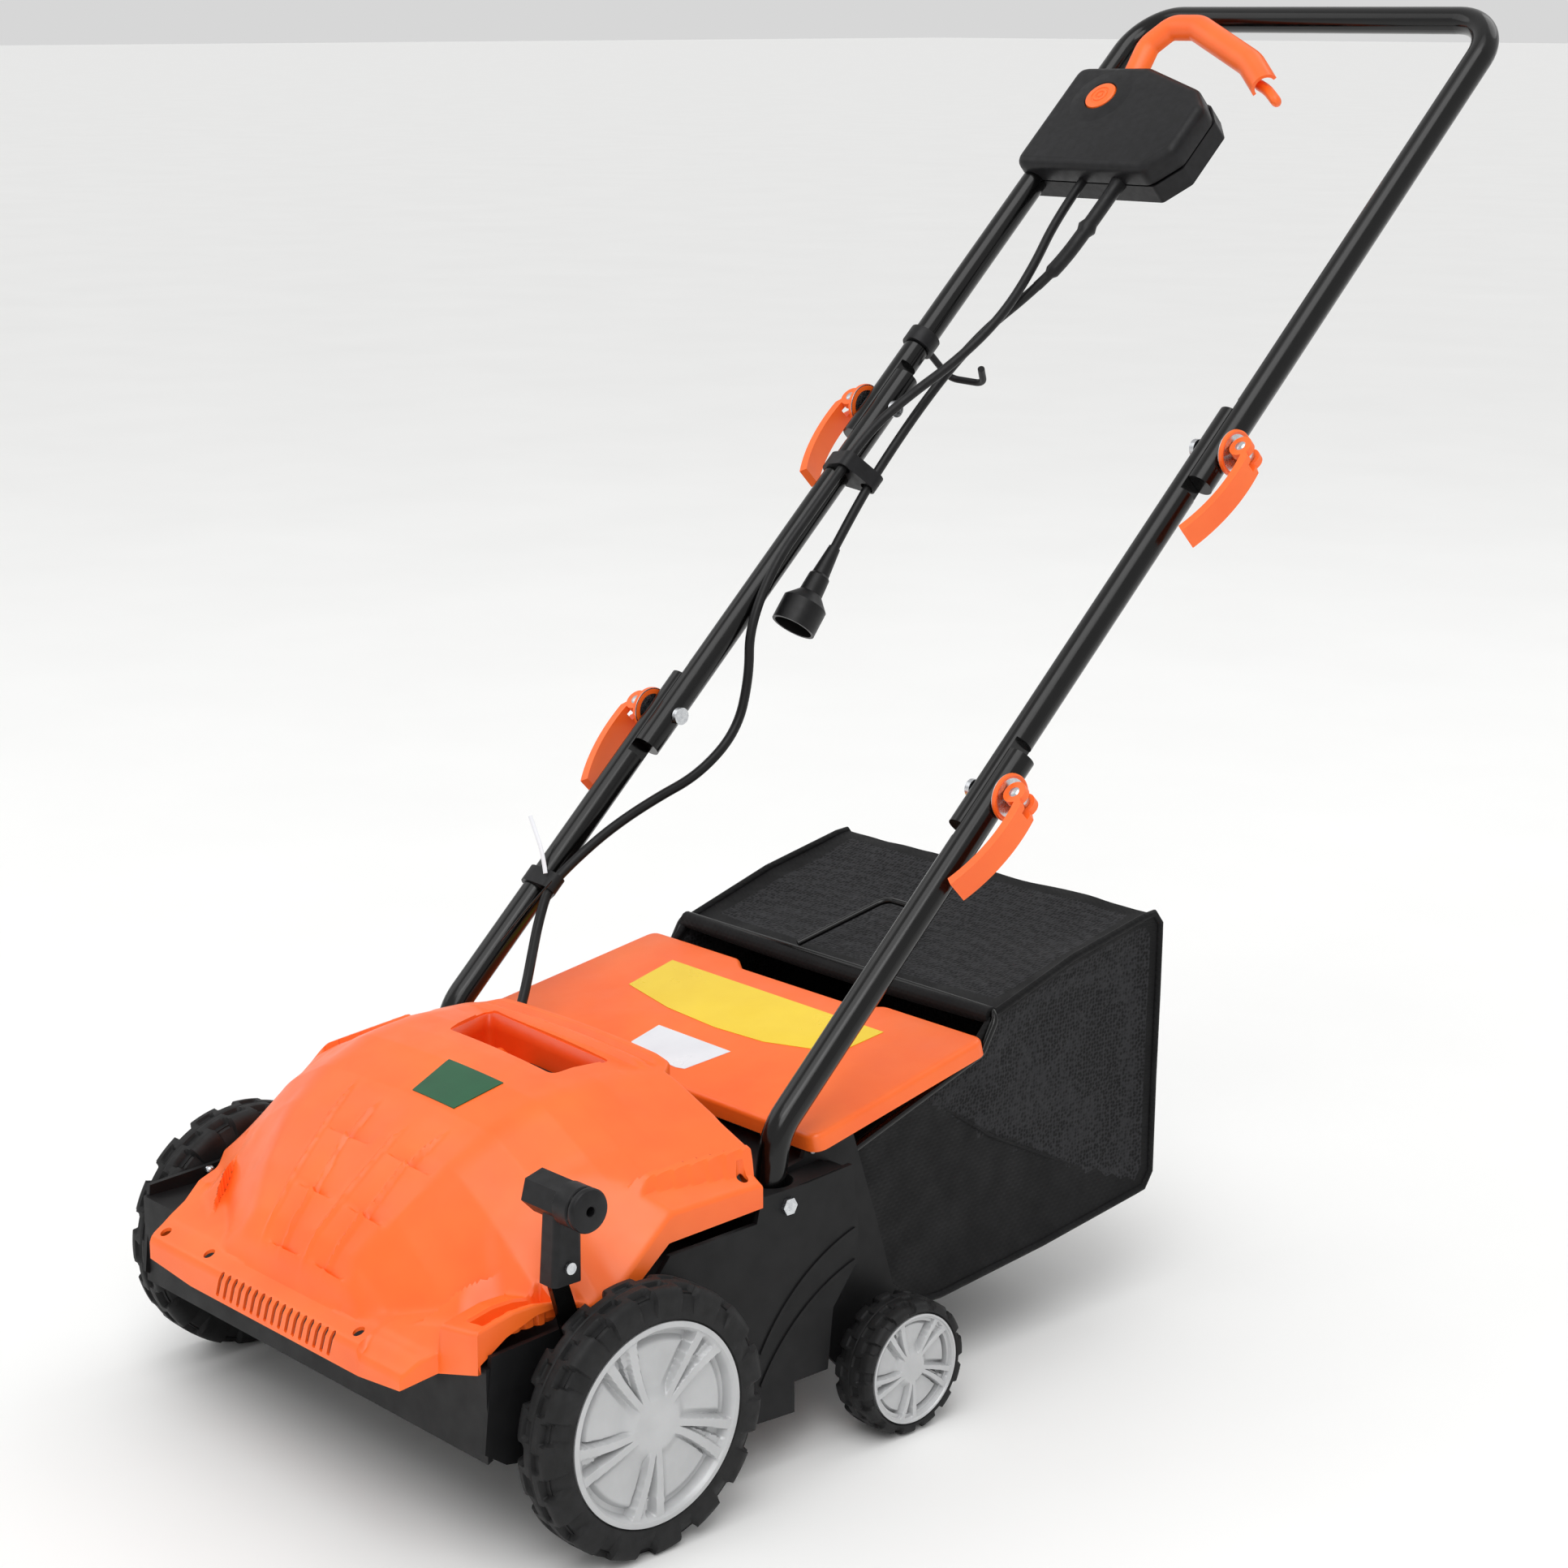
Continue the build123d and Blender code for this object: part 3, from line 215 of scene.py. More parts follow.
def deckPolypropylene():
    # polypropylene, moulded against a spark-eroded tool: dull black with a fine even grain
    material, tree, shader, place = newMaterial("deckPolypropylene")
    colour = mottled(tree, place, "101011", "171718", 40)
    return shade(material, tree, shader, colour, roughBand(tree, place, 0.42, 0.56, 18),
                 grain(tree, place, 0.9, 0.03), IOR=1.49, Specular_IOR_Level=0.22)


def lacqueredTube():
    # steel tube with stoved black lacquer: wet-looking long highlights over slight orange peel
    material, tree, shader, place = newMaterial("lacqueredTube")
    colour = mottled(tree, place, "040404", "080808", 30)
    return shade(material, tree, shader, colour, roughBand(tree, place, 0.14, 0.24, 14),
                 grain(tree, place, 2.2, 0.01), IOR=1.5, Specular_IOR_Level=0.3,
                 Coat_Weight=0.12, Coat_Roughness=0.06)


def zincSteel():
    # zinc-plated steel: bright, slightly clouded metal
    material, tree, shader, place = newMaterial("zincSteel")
    colour = mottled(tree, place, "B9BCC0", "DCDEE0", 3)
    return shade(material, tree, shader, colour, roughBand(tree, place, 0.2, 0.36, 2),
                 grain(tree, place, 0.7, 0.008), Metallic=1.0)


def mouldedRubber():
    # moulded rubber tyre: dull dark grey with dusty shoulders
    material, tree, shader, place = newMaterial("mouldedRubber")
    colour = mottled(tree, place, "161616", "202021", 12)
    return shade(material, tree, shader, colour, roughBand(tree, place, 0.5, 0.68, 8),
                 grain(tree, place, 1.1, 0.03), IOR=1.5, Specular_IOR_Level=0.25)


def silverAbs():
    # ABS sprayed silver-grey: even satin with a hint of metal flake
    material, tree, shader, place = newMaterial("silverAbs")
    flake = addNode(tree, "ShaderNodeTexNoise", Vector=place, Scale=grainSize(0.5), Detail=1.0)
    base = mottled(tree, place, "B2B3B4", "C2C3C4", 30)
    mixed = addNode(tree, "ShaderNodeMix", {"data_type": "RGBA"}, _0=0.08)
    tree.links.new(base, mixed.inputs[6])
    tree.links.new(flake.outputs["Color"], mixed.inputs[7])
    return shade(material, tree, shader, mixed.outputs[2], roughBand(tree, place, 0.3, 0.4, 10),
                 grain(tree, place, 0.8, 0.006), IOR=1.5, Metallic=0.15)


def drivenRubber():
    # moulded rubber belt: dull black with a fabric back
    material, tree, shader, place = newMaterial("drivenRubber")
    return shade(material, tree, shader, mottled(tree, place, "161616", "202020", 4),
                 roughBand(tree, place, 0.6, 0.75, 4), grain(tree, place, 0.8, 0.05), IOR=1.5)


def cordPvc():
    # PVC cord jacket: extruded, soft sheen with faint draw lines
    material, tree, shader, place = newMaterial("cordPvc")
    return shade(material, tree, shader, mottled(tree, place, "0E0E0F", "171718", 14),
                 roughBand(tree, place, 0.34, 0.46, 6), grain(tree, place, 1.2, 0.012), IOR=1.52,
                 Specular_IOR_Level=0.25)


def paintedMotor():
    # electrical steel and painted end caps: dark grey, slightly oily
    material, tree, shader, place = newMaterial("paintedMotor")
    return shade(material, tree, shader, mottled(tree, place, "3B3D40", "55585C", 6),
                 roughBand(tree, place, 0.3, 0.5, 5), grain(tree, place, 0.9, 0.02), Metallic=0.7)


def sinteredBronze():
    # sintered bronze bush: warm brown metal full of fine pores
    material, tree, shader, place = newMaterial("sinteredBronze")
    return shade(material, tree, shader, mottled(tree, place, "8A6238", "A97C4A", 2),
                 roughBand(tree, place, 0.35, 0.5, 2), grain(tree, place, 0.5, 0.03), Metallic=1.0)


def blackNylon():
    # glass-filled nylon: black, satin, slightly flecked
    material, tree, shader, place = newMaterial("blackNylon")
    return shade(material, tree, shader, mottled(tree, place, "121213", "1C1C1E", 8),
                 roughBand(tree, place, 0.36, 0.5, 7), grain(tree, place, 0.9, 0.02), IOR=1.53,
                 Specular_IOR_Level=0.22)


finish = {
    "orange": orangeAbs(),
    # the cover's orange made darker: painted shade for the inside of the carrying pocket
    "orangeShaded": orangeAbs("E4480C", "F2561A"),
    "deck": deckPolypropylene(),
    "tube": lacqueredTube(),
    "steel": zincSteel(),
    "tyre": mouldedRubber(),
    "silver": silverAbs(),
    "belt": drivenRubber(),
    "cord": cordPvc(),
    "motor": paintedMotor(),
    "bronze": sinteredBronze(),
    "nylon": blackNylon(),
}
slotFinish = {
    "deck_plastic": "deck",
    "cover_plastic": "orange",
    "tube_paint": "tube",
    "steel": "steel",
    "tyre_rubber": "tyre",
    "wheel_plastic": "silver",
    "belt_rubber": "belt",
    "bag_cloth": "nylon",
    "cord_jacket": "cord",
    "motor_steel": "motor",
    "bronze": "bronze",
    "black_plastic": "nylon",
}


def dress(piece, name):
    piece.data.materials.clear()
    piece.data.materials.append(finish[name])


# edge rounding of the CAD pieces that stay, in millimetres
edgeSoft = {
    "deck": 1.2, "deck_bolts": 0.3, "belt": 0.4, "reel_shaft": 0.4, "reel_tines": 0.2,
    "lower_tube_left": 0.8, "lower_tube_right": 0.8, "middle_tube_left": 0.8, "middle_tube_right": 0.8,
    "upper_handle": 0.8, "switch_box_back": 3.0, "switch": 0.5, "cord_hook": 0.6,
    "lower_joint_bolts": 0.5, "upper_joint_bolts": 0.5, "height_lever": 2.6, "lever_screw": 0.4, "plug": 0.8,
    "cord_clip_lower": 0.8, "cord_clip_middle": 0.8, "bail": 1.0,
    "cam_lever_lower_left": 1.2, "cam_lever_lower_right": 1.2,
    "cam_lever_upper_left": 1.2, "cam_lever_upper_right": 1.2,
}


def dressNodes():
    for part in frame["record"]["subparts"]:
        node = part["node"]
        piece = frame["nodes"][node]
        dress(piece, slotFinish[part["material_slot"]])
        if node in edgeSoft:
            soften = piece.modifiers.new("edges", "BEVEL")
            soften.width = edgeSoft[node] / 1000
            soften.segments = 3
            soften.limit_method = "ANGLE"
            soften.angle_limit = math.radians(35)
            soften.use_clamp_overlap = True
            soften.harden_normals = False


dressNodes()
print("stage: CAD pieces dressed")


# meshes made from points in millimetres
def meshFrom(name, points, faces):
    mesh = bpy.data.meshes.new(name)
    mesh.from_pydata([tuple(Vector(point) / 1000) for point in points], [], faces)
    return mesh


def closedMesh(name, points, faces):
    # closed skin with every face turned outwards
    mesh = meshFrom(name, points, faces)
    shape = bmesh.new()
    shape.from_mesh(mesh)
    bmesh.ops.recalc_face_normals(shape, faces=shape.faces)
    shape.to_mesh(mesh)
    shape.free()
    return mesh


def newPiece(name, points, faces, body, material, hides=(), sharp=35):
    return placePiece(name, meshFrom(name, points, faces), body, material, hides, sharp)


def placePiece(name, mesh, body, material, hides=(), sharp=35):
    mesh.validate()
    mesh.shade_smooth()
    mesh.set_sharp_from_angle(angle=math.radians(sharp))
    piece = bpy.data.objects.new(name, mesh)
    scene.collection.objects.link(piece)
    dress(piece, material)
    if body:
        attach(piece, body)
    if hides:
        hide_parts(*hides)
    return piece


def centreLine(name, points):
    # the smooth line of a route, as Blender draws it
    curve = bpy.data.curves.new(name, "CURVE")
    curve.dimensions = "3D"
    spline = curve.splines.new("NURBS")
    spline.points.add(len(points) - 1)
    for place, point in zip(spline.points, points):
        place.co = (*(point / 1000), 1)
    spline.order_u = 3
    spline.use_endpoint_u = True
    spline.resolution_u = 10
    holder = bpy.data.objects.new(name, curve)
    scene.collection.objects.link(holder)
    line = [vertex.co * 1000 for vertex in bpy.data.meshes.new_from_object(holder).vertices]
    bpy.data.objects.remove(holder)
    return line


def ringFaces(rings, count):
    # four-sided faces between closed rings of points
    return [(r * count + k, r * count + (k + 1) % count, (r + 1) * count + (k + 1) % count,
             (r + 1) * count + k) for r in range(rings - 1) for k in range(count)]


def tubeMesh(line, radius, sides=20, closed=True, flat=1.0):
    # rings carried along a line without twist; radius may be a function of the share of the way
    points, share = [], 0
    total = sum((b - a).length for a, b in zip(line, line[1:]))
    ahead = (line[1] - line[0]).normalized()
    side = ahead.orthogonal().normalized()
    for i, place in enumerate(line):
        before, after = line[max(i - 1, 0)], line[min(i + 1, len(line) - 1)]
        if i:
            share += (place - line[i - 1]).length / total
        direction = (after - before).normalized()
        side = (side - direction * side.dot(direction)).normalized()
        other = direction.cross(side)
        size = radius(share) if callable(radius) else radius
        for k in range(sides):
            turn = 2 * math.pi * k / sides
            points.append(place + side * size * math.cos(turn) + other * size * flat * math.sin(turn))
    faces = ringFaces(len(line), sides)
    if closed:
        faces.append(tuple(reversed(range(sides))))
        faces.append(tuple(range((len(line) - 1) * sides, len(line) * sides)))
    return points, faces


# cords: x, distance along the handle from the top bar, height off its plane
cordFacts = {
    "radius": 4.0,
    "high": [(-131, -196, 2), (-131, -240, 2), (-119, -296, 2), (-115, -352, 3), (-128, -404, 5),
             (-151, -450, 8), (-163, -492, 11), (-163, -525, 11)],
    "lead": [(-90, -196, 2), (-90, -246, 2), (-101, -284, -5), (-120, -318, -10), (-139, -352, -11),
             (-149, -398, -11), (-152, -448, -11), (-151, -498, -11), (-150, -545, -13), (-150, -590, -20)],
    # x, distance behind the front axle, height
    "low": [(-164, 479.5, 558), (-159, 447.5, 510), (-157, 445.5, 470), (-156, 431.5, 427), (-157, 391.5, 397),
            (-160, 345.5, 383), (-163, 303.5, 366), (-166, 269.5, 346), (-170, 245.5, 327), (-162, 228.5, 303),
            (-146, 209.5, 284), (-128, 188.5, 264), (-118, 170.5, 240), (-118, 166, 207)],
    "sleeve": 118,  # length of the thicker moulded sleeve on the plug lead
}


def makeCord(name, points, node):
    line = centreLine(name + "Line", points)
    ring, faces = tubeMesh(line, cordFacts["radius"], 16)
    piece = newPiece(name, ring, faces, None, "cord")
    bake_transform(piece)
    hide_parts(node)
    return line


def makeCords():
    high = [onHandle(*place) for place in cordFacts["high"]]
    low = [high[-1], onHandle(-163, -575, 11)] + [fromAxle(*place) for place in cordFacts["low"]]
    lead = [onHandle(*place) for place in cordFacts["lead"]]
    makeCord("motorCordHigh", high, "motor_cord_upper")
    makeCord("motorCordLow", low, "motor_cord_lower")
    leadLine = makeCord("plugLead", lead, "plug_cord")
    # thick sleeve with a collar at the switch box end, as moulded onto such a lead
    sleeve, walked = [leadLine[0]], 0
    for a, b in zip(leadLine, leadLine[1:]):
        walked += (b - a).length
        if walked > cordFacts["sleeve"]:
            break
        sleeve.append(b)

    def width(share):
        return 4.3 + 1.9 * (share < 0.86) + 2.0 * (0.40 < share < 0.46) + 1.2 * (share < 0.06)

    ring, faces = tubeMesh(sleeve, width, 18)
    newPiece("leadSleeve", ring, faces, "upper_handle", "cord", sharp=50)


makeCords()
print("stage: cords")


def makeStudio():
    reach = 80.0
    mesh = bpy.data.meshes.new("floor")
    corners = [(-reach, -reach, 0), (reach, -reach, 0), (reach, reach, 0), (-reach, reach, 0)]
    mesh.from_pydata(corners, [], [(0, 1, 2, 3)])
    floor = bpy.data.objects.new("floor", mesh)
    scene.collection.objects.link(floor)
    material, tree, shader, place = newMaterial("paintedFloor")
    shade(material, tree, shader, mottled(tree, place, "F1F1F0", studio["floor"], 400),
          roughBand(tree, place, 0.55, 0.65, 300))
    mesh.materials.append(material)
    world = bpy.data.worlds.new("sky")
    world.use_nodes = True
    world.node_tree.nodes["Background"].inputs["Color"].default_value = (1, 1, 1, 1)
    world.node_tree.nodes["Background"].inputs["Strength"].default_value = studio["sky"]
    scene.world = world
    for i, (place, size, power) in enumerate(studio["lamps"]):
        data = bpy.data.lights.new(f"lamp{i}", "AREA")
        data.shape = "DISK"
        data.size = size
        data.energy = power
        lamp = bpy.data.objects.new(f"lamp{i}", data)
        scene.collection.objects.link(lamp)
        lamp.location = place
        aim = Vector((0, 0, 0.35)) - Vector(place)
        lamp.rotation_euler = aim.to_track_quat("-Z", "Y").to_euler()
    data = bpy.data.lights.new("daylight", "SUN")
    data.energy = studio["sun"]
    data.angle = math.radians(45)
    daylight = bpy.data.objects.new("daylight", data)
    scene.collection.objects.link(daylight)
    daylight.rotation_euler = (math.radians(22), math.radians(14), 0)
    scene.view_settings.view_transform = "Standard"


makeStudio()


# top cover: heights over the deck plan, in millimetres, y counted from the front axle
coverShape = {
    "ridge": [  # y, crease x, crease height, shoulder x, shoulder height
        (-118, 62, 146, 86, 145), (-114, 67, 163, 88, 150), (-104, 75, 182, 92, 160),
        (-82, 84, 207.5, 110, 184),
        (-45, 93, 241, 132, 218), (-15, 98, 259, 145, 235), (24, 102, 272, 152, 246.6),
        (48, 105, 275, 156, 250), (75, 107, 276.5, 158, 251.5), (131, 110, 273, 166, 253)],
    "crown": 4.0,
    "frontFlank": [(-45, 0.72), (-15, 0.9), (24, 1.06)],  # y, fall per millimetre outwards
    "rearFlank": 0.35,
    "earEdge": [(45, 190), (131, 200)],
    "facet": [(190, 45, 237), (212, 48, 217.6), (202, -1, 186)],
    "strip": [(-133, 138), (-131, 141), (-117, 147.5), (-113, 150), (-79, 165), (-50, 166)],
    "tab": 103,  # the lower front step, lever side
    "fender": [(-113, 175), (-95, 179), (-80, 182), (-63, 182), (-43, 178), (-28, 174), (0, 172)],
    "fenderIn": 164,
    "halfWidth": 212,
    "nearFront": [(-212, -30), (-200, -36), (-186, -58), (-164, -100), (-157, -133), (150, -133), (164, -112),
                  (212, -110)],
    "nearRear": [(-212, 129), (-108, 131), (-98, 143), (98, 143), (108, 131), (212, 129)],
    "frontLow": [(-212, 171), (-200, 168), (-186, 152), (-164, 135), (-157, 124), (-103, 119), (103, 119),
                 (150, 124), (164, 135), (204, 146), (212, 149)],
    "sideLow": [(-112, 150), (-87, 165.6), (-62, 174), (-40, 174.8), (-28, 171), (0, 172), (20, 177),
                (45, 197), (128, 200)],
    "rearLow": 238,
    "round": 3.0,
    "grid": 1.6,
    "wall": 2.4,
    "leverWay": (-120, -24, 7.2),  # front, rear and depth of the step in the side wall
    "slot": (190, 8.5, -100, -42, 15),  # lever slot: middle, half width, front, rear, depth
}
# raised fins: foot and top outline and how far they stand up
finLines = [
    ([(-112, -39), (-100, -37), (-84, -40), (-62, -43.5), (-41, -48), (-18, -54)], 2.4),
    ([(-113, -16), (-87, -13), (-56, -17), (-39, -17), (-25, -15)], 4.2),
    ([(-115, 12), (-89, 20), (-56, 25), (-35, 29)], 2.4),
    ([(-113, 36), (-87, 47), (-54, 53.5), (-25, 64.5)], 4.2),
]
louvers = {"bays": [(-113, -88), (-87, -56), (-55, -24)], "deep": 8.5, "reach": 29}


def between(table, at):
    # straight-line reading of a table of (place, value...) rows
    if at <= table[0][0]:
        row = table[0][1:]
    elif at >= table[-1][0]:
        row = table[-1][1:]
    else:
        low, high = next((a, b) for a, b in zip(table, table[1:]) if a[0] <= at <= b[0])
        share = (at - low[0]) / (high[0] - low[0])
        row = tuple(p + (q - p) * share for p, q in zip(low[1:], high[1:]))
    return row if len(row) > 1 else row[0]


def softMax(a, b, blend):
    near = max(blend - abs(a - b), 0) / blend
    return max(a, b) + near * near * blend / 4


def softMin(a, b, blend):
    return -softMax(-a, -b, blend)


def ramp(value, start, end):
    share = min(max((value - start) / (end - start), 0), 1)
    return share * share * (3 - 2 * share)


def facetHeight(x, y):
    a, b, c = (Vector(corner) for corner in coverShape["facet"])
    normal = (b - a).cross(c - a)
    return a.z - (normal.x * (x - a.x) + normal.y * (y - a.y)) / normal.z


def louverDepth(x, y):
    if not -116 < y < -22:
        return 0
    deep = 0
    for line, strong in ((finLines[1][0], finLines[0][0]), (finLines[3][0], finLines[2][0])):
        fin, faint = between(line, y), between(strong, y)
        if x > fin:
            across = max(1 - (x - fin) / louvers["reach"], 0)
        else:
            across = 0.75 * max((x - faint) / (fin - faint), 0) if x > faint else 0
        for front, rear in louvers["bays"]:
            if front <= y <= rear:
                deep = max(deep, across * (1 - (y - front) / (rear - front)) * ramp(y, front, front + 1.6))
    return deep * louvers["deep"]


def finHeight(x, y):
    height = 0
    for line, stands in finLines:
        if line[0][0] - 2 < y < line[-1][0] + 2:
            off = (x - between(line, y)) / 1.7
            ends = ramp(y, line[0][0] - 2, line[0][0] + 4) * (1 - ramp(y, line[-1][0] - 18, line[-1][0] + 2))
            height = max(height, stands * math.exp(-off * off) * ends)
    return height


def coverHeight(x, y):
    shape = coverShape
    wide = abs(x)
    creaseX, creaseZ, shoulderX, shoulderZ = between(shape["ridge"], y)
    hood = creaseZ + shape["crown"] * (1 - (wide / creaseX) ** 2)
    upper = creaseZ - (wide - creaseX) * (creaseZ - shoulderZ) / (shoulderX - creaseX)
    steep = shoulderZ - (wide - shoulderX) * between(shape["frontFlank"], y)
    slack = shoulderZ - (wide - shoulderX) * shape["rearFlank"]
    edge = between(shape["earEdge"], y)
    slack = slack + (229 - 0.52 * (wide - 190) - slack) * ramp(wide, edge, edge + 3)
    flank = softMax(steep, softMin(slack, facetHeight(wide, y), 3), 3)
    height = softMin(softMin(hood, upper, 5), softMax(flank, 0, 3), 4) if wide < shoulderX + 30 else flank
    height = min(height, hood + 6) if y > -118 else 0
    base = between(shape["strip"], y)
    if x > 0:
        inTab = ramp(x, shape["tab"] - 1.5, shape["tab"] + 1.5)
        base -= inTab * (6 - 5 * ramp(y, -131, -119))
        box = between(shape["fender"], y) - (shape["halfWidth"] - x) * 0.125
        box = -200 + (box + 200) * ramp(x, shape["fenderIn"] - 1, shape["fenderIn"] + 2)
        height = softMax(height, box, 3) if x > shape["fenderIn"] - 3 else height
        middle, half, front, rear, deep = shape["slot"]
        if abs(x - middle) < half + 2 and front - 2 < y < rear + 2:
            notch = 3.2 if (y - front) % 11 < 5.5 and x > middle and y < -52 else 0
            inside = 1 - ramp(abs(x - middle), half - 1.2 + notch, half + notch)
            inside *= ramp(y, front - 1, front + 1)
            height -= deep * inside * (1 - ramp(y, rear - 1, rear + 1))
    height = softMax(height, base, 4)
    if wide < 112 and y > 100:
        # two carrying ridges behind the hand hole, with a groove between
        side = 1 - ramp(wide, 84, 106)
        first = math.exp(-(((y - 121.5) / 4.2) ** 4))
        second = math.exp(-(((y - 138) / 4.6) ** 4))
        height += side * (4.5 * max(first, second) - 1.2)
    if wide < 100:
        height += finHeight(x, y) - louverDepth(x, y)
    return height


def coverPlan():
    # columns across and, for each, its rows from front to rear
    half, soft = coverShape["halfWidth"], coverShape["round"]
    lip = [0, 0.08, 0.35, 0.9, 1.8, soft]
    inner = int((2 * half - 2 * soft) / coverShape["grid"])
    xs = [-half + step for step in lip]
    xs += [-half + soft + (2 * half - 2 * soft) * i / inner for i in range(1, inner)]
    xs += [half - step for step in reversed(lip)]
    rows = 172
    for x in xs:
        front, rear = between(coverShape["nearFront"], x), between(coverShape["nearRear"], x)
        ys = [front + step for step in lip]
        ys += [front + soft + (rear - front - 2 * soft) * i / rows for i in range(1, rows)]
        ys += [rear - step for step in reversed(lip)]
        yield x, front, rear, ys


def leverInset(x, y):
    # the side wall steps in where the height lever swings past it
    front, rear, inset = coverShape["leverWay"]
    return inset * max((x - 198) / 14, 0) * ramp(y, front, front + 2) * (1 - ramp(y, rear - 3, rear))


def makeCover():
    soft, half = coverShape["round"], coverShape["halfWidth"]
    points, columns = [], 0
    for x, front, rear, ys in coverPlan():
        columns += 1
        for y in ys:
            away = min(y - front, rear - y, half - abs(x))
            drop = soft - math.sqrt(max(soft * soft - (soft - away) ** 2, 0)) if away < soft else 0
            points.append(fromAxle(x - leverInset(x, y), y, coverHeight(x, y) - drop))
    rows = len(points) // columns
    faces = [(c * rows + r, (c + 1) * rows + r, (c + 1) * rows + r + 1, c * rows + r + 1)
             for c in range(columns - 1) for r in range(rows - 1)]
    rim = [(c * rows, "front") for c in range(columns)]
    rim += [((columns - 1) * rows + r, "side") for r in range(1, rows)]
    rim += [(c * rows + rows - 1, "rear") for c in range(columns - 2, -1, -1)]
    rim += [(r, "side") for r in range(rows - 2, 0, -1)]
    lower = []
    for i, (index, where) in enumerate(rim):
        top = points[index]
        if where == "front":
            low = between(coverShape["frontLow"], top.x)
        elif where == "side":
            low = between(coverShape["sideLow"], top.y - axleY)
            low = max(low, 171) if top.x < 0 else low
        else:
            low = coverShape["rearLow"] - 34 * ramp(abs(top.x), 170, 205)
        lower.append(len(points))
        points.append(Vector((top.x, top.y, min(low, top.z - 1.5))))
    for i in range(len(rim)):
        j = (i + 1) % len(rim)
        faces.append((rim[i][0], lower[i], lower[j], rim[j][0]))
    mesh = meshFrom("topCover", points, faces)
    cover = placePiece("topCover", mesh, "root", "orange", ("top_cover",), sharp=28)
    wall = cover.modifiers.new("wall", "SOLIDIFY")
    wall.thickness = coverShape["wall"] / 1000
    wall.offset = -1
    return cover


def prism(name, outline, low, high):
    # closed upright block over a plan outline, used as a cutter
    count = len(outline)
    points = [fromAxle(x, y, low) for x, y in outline] + [fromAxle(x, y, high) for x, y in outline]
    faces = [tuple(reversed(range(count))), tuple(range(count, 2 * count))]
    faces += [(i, (i + 1) % count, count + (i + 1) % count, count + i) for i in range(count)]
    return closedMesh(name, points, faces)


def rounded(corners, radius, steps=5):
    # outline with its corners turned to arcs
    outline = []
    for i, corner in enumerate(corners):
        here = Vector(corner)
        back, ahead = Vector(corners[i - 1]) - here, Vector(corners[(i + 1) % len(corners)]) - here
        turn = back.angle(ahead) / 2
        run = min(radius / math.tan(turn), back.length * 0.45, ahead.length * 0.45)
        start, end = here + back.normalized() * run, here + ahead.normalized() * run
        for k in range(steps + 1):
            t = k / steps
            outline.append(tuple(start * (1 - t) ** 2 + here * 2 * t * (1 - t) + end * t * t))
    return outline


def cutAway(piece, meshes):
    # one boolean per cutter set, applied so that no cutter is left in the scene
    joined = bmesh.new()
    for mesh in meshes:
        joined.from_mesh(mesh)
    cutter = bpy.data.meshes.new(piece.name + "Cuts")
    joined.to_mesh(cutter)
    joined.free()
    holder = bpy.data.objects.new(piece.name + "Cuts", cutter)
    scene.collection.objects.link(holder)
    cut = piece.modifiers.new("cuts", "BOOLEAN")
    cut.operation = "DIFFERENCE"
    cut.solver = "FAST"
    cut.object = holder
    bpy.context.view_layer.update()
    result = bpy.data.meshes.new_from_object(piece.evaluated_get(bpy.context.evaluated_depsgraph_get()))
    piece.modifiers.clear()
    piece.data = result
    bpy.data.objects.remove(holder)
    result.shade_smooth()
    result.set_sharp_from_angle(angle=math.radians(28))


handHole = {
    "corners": [(-81, 118), (-54, 62), (73, 57), (73, 109)], "radius": 7,
    "rib": [(-30, 70, 231), (-34, 78, 248), (-38, 88, 256), (-42, 98, 255), (-45, 108, 246), (-46, 114, 232)],
    "gap": [(-20, 100), (62, 96), (62, 106), (-24, 111)],
}
vents = {"count": 17, "from": -65, "to": 71, "low": 124, "high": 139.5, "lean": 6, "half": 1.9}
recesses = [(-91.5, -123.5), (91.5, -123.5), (-148, -124), (-203, -52), (203, 118), (-203, 118)]


def ventCutter(x):
    # a slanted slot with round ends, cut from the front
    points, count = [], 14
    for depth in (-140, -124):
        for k in range(count):
            turn = 2 * math.pi * k / count
            end = 1 if math.sin(turn) >= 0 else 0
            along = x + vents["lean"] * (end - 0.5)
            height = (vents["high"] if end else vents["low"]) + vents["half"] * math.sin(turn)
            points.append(fromAxle(along + vents["half"] * math.cos(turn), depth, height))
    faces = [tuple(range(count)), tuple(reversed(range(count, 2 * count)))]
    faces += [(i, count + i, count + (i + 1) % count, (i + 1) % count) for i in range(count)]
    return closedMesh("vent", points, faces)


def disc(x, y, radius, count=20):
    return [(x + radius * math.cos(2 * math.pi * k / count), y + radius * math.sin(2 * math.pi * k / count))
            for k in range(count)]


cover = makeCover()
step = (vents["to"] - vents["from"]) / (vents["count"] - 1)
cuts = [ventCutter(vents["from"] + step * i) for i in range(vents["count"])]
cuts.append(prism("hand", rounded(handHole["corners"], handHole["radius"]), 225, 300))
for x, y in recesses:
    cuts.append(prism("recess", disc(x, y, 4.2), coverHeight(x, y) - 8, coverHeight(x, y) + 12))
cutAway(cover, cuts)


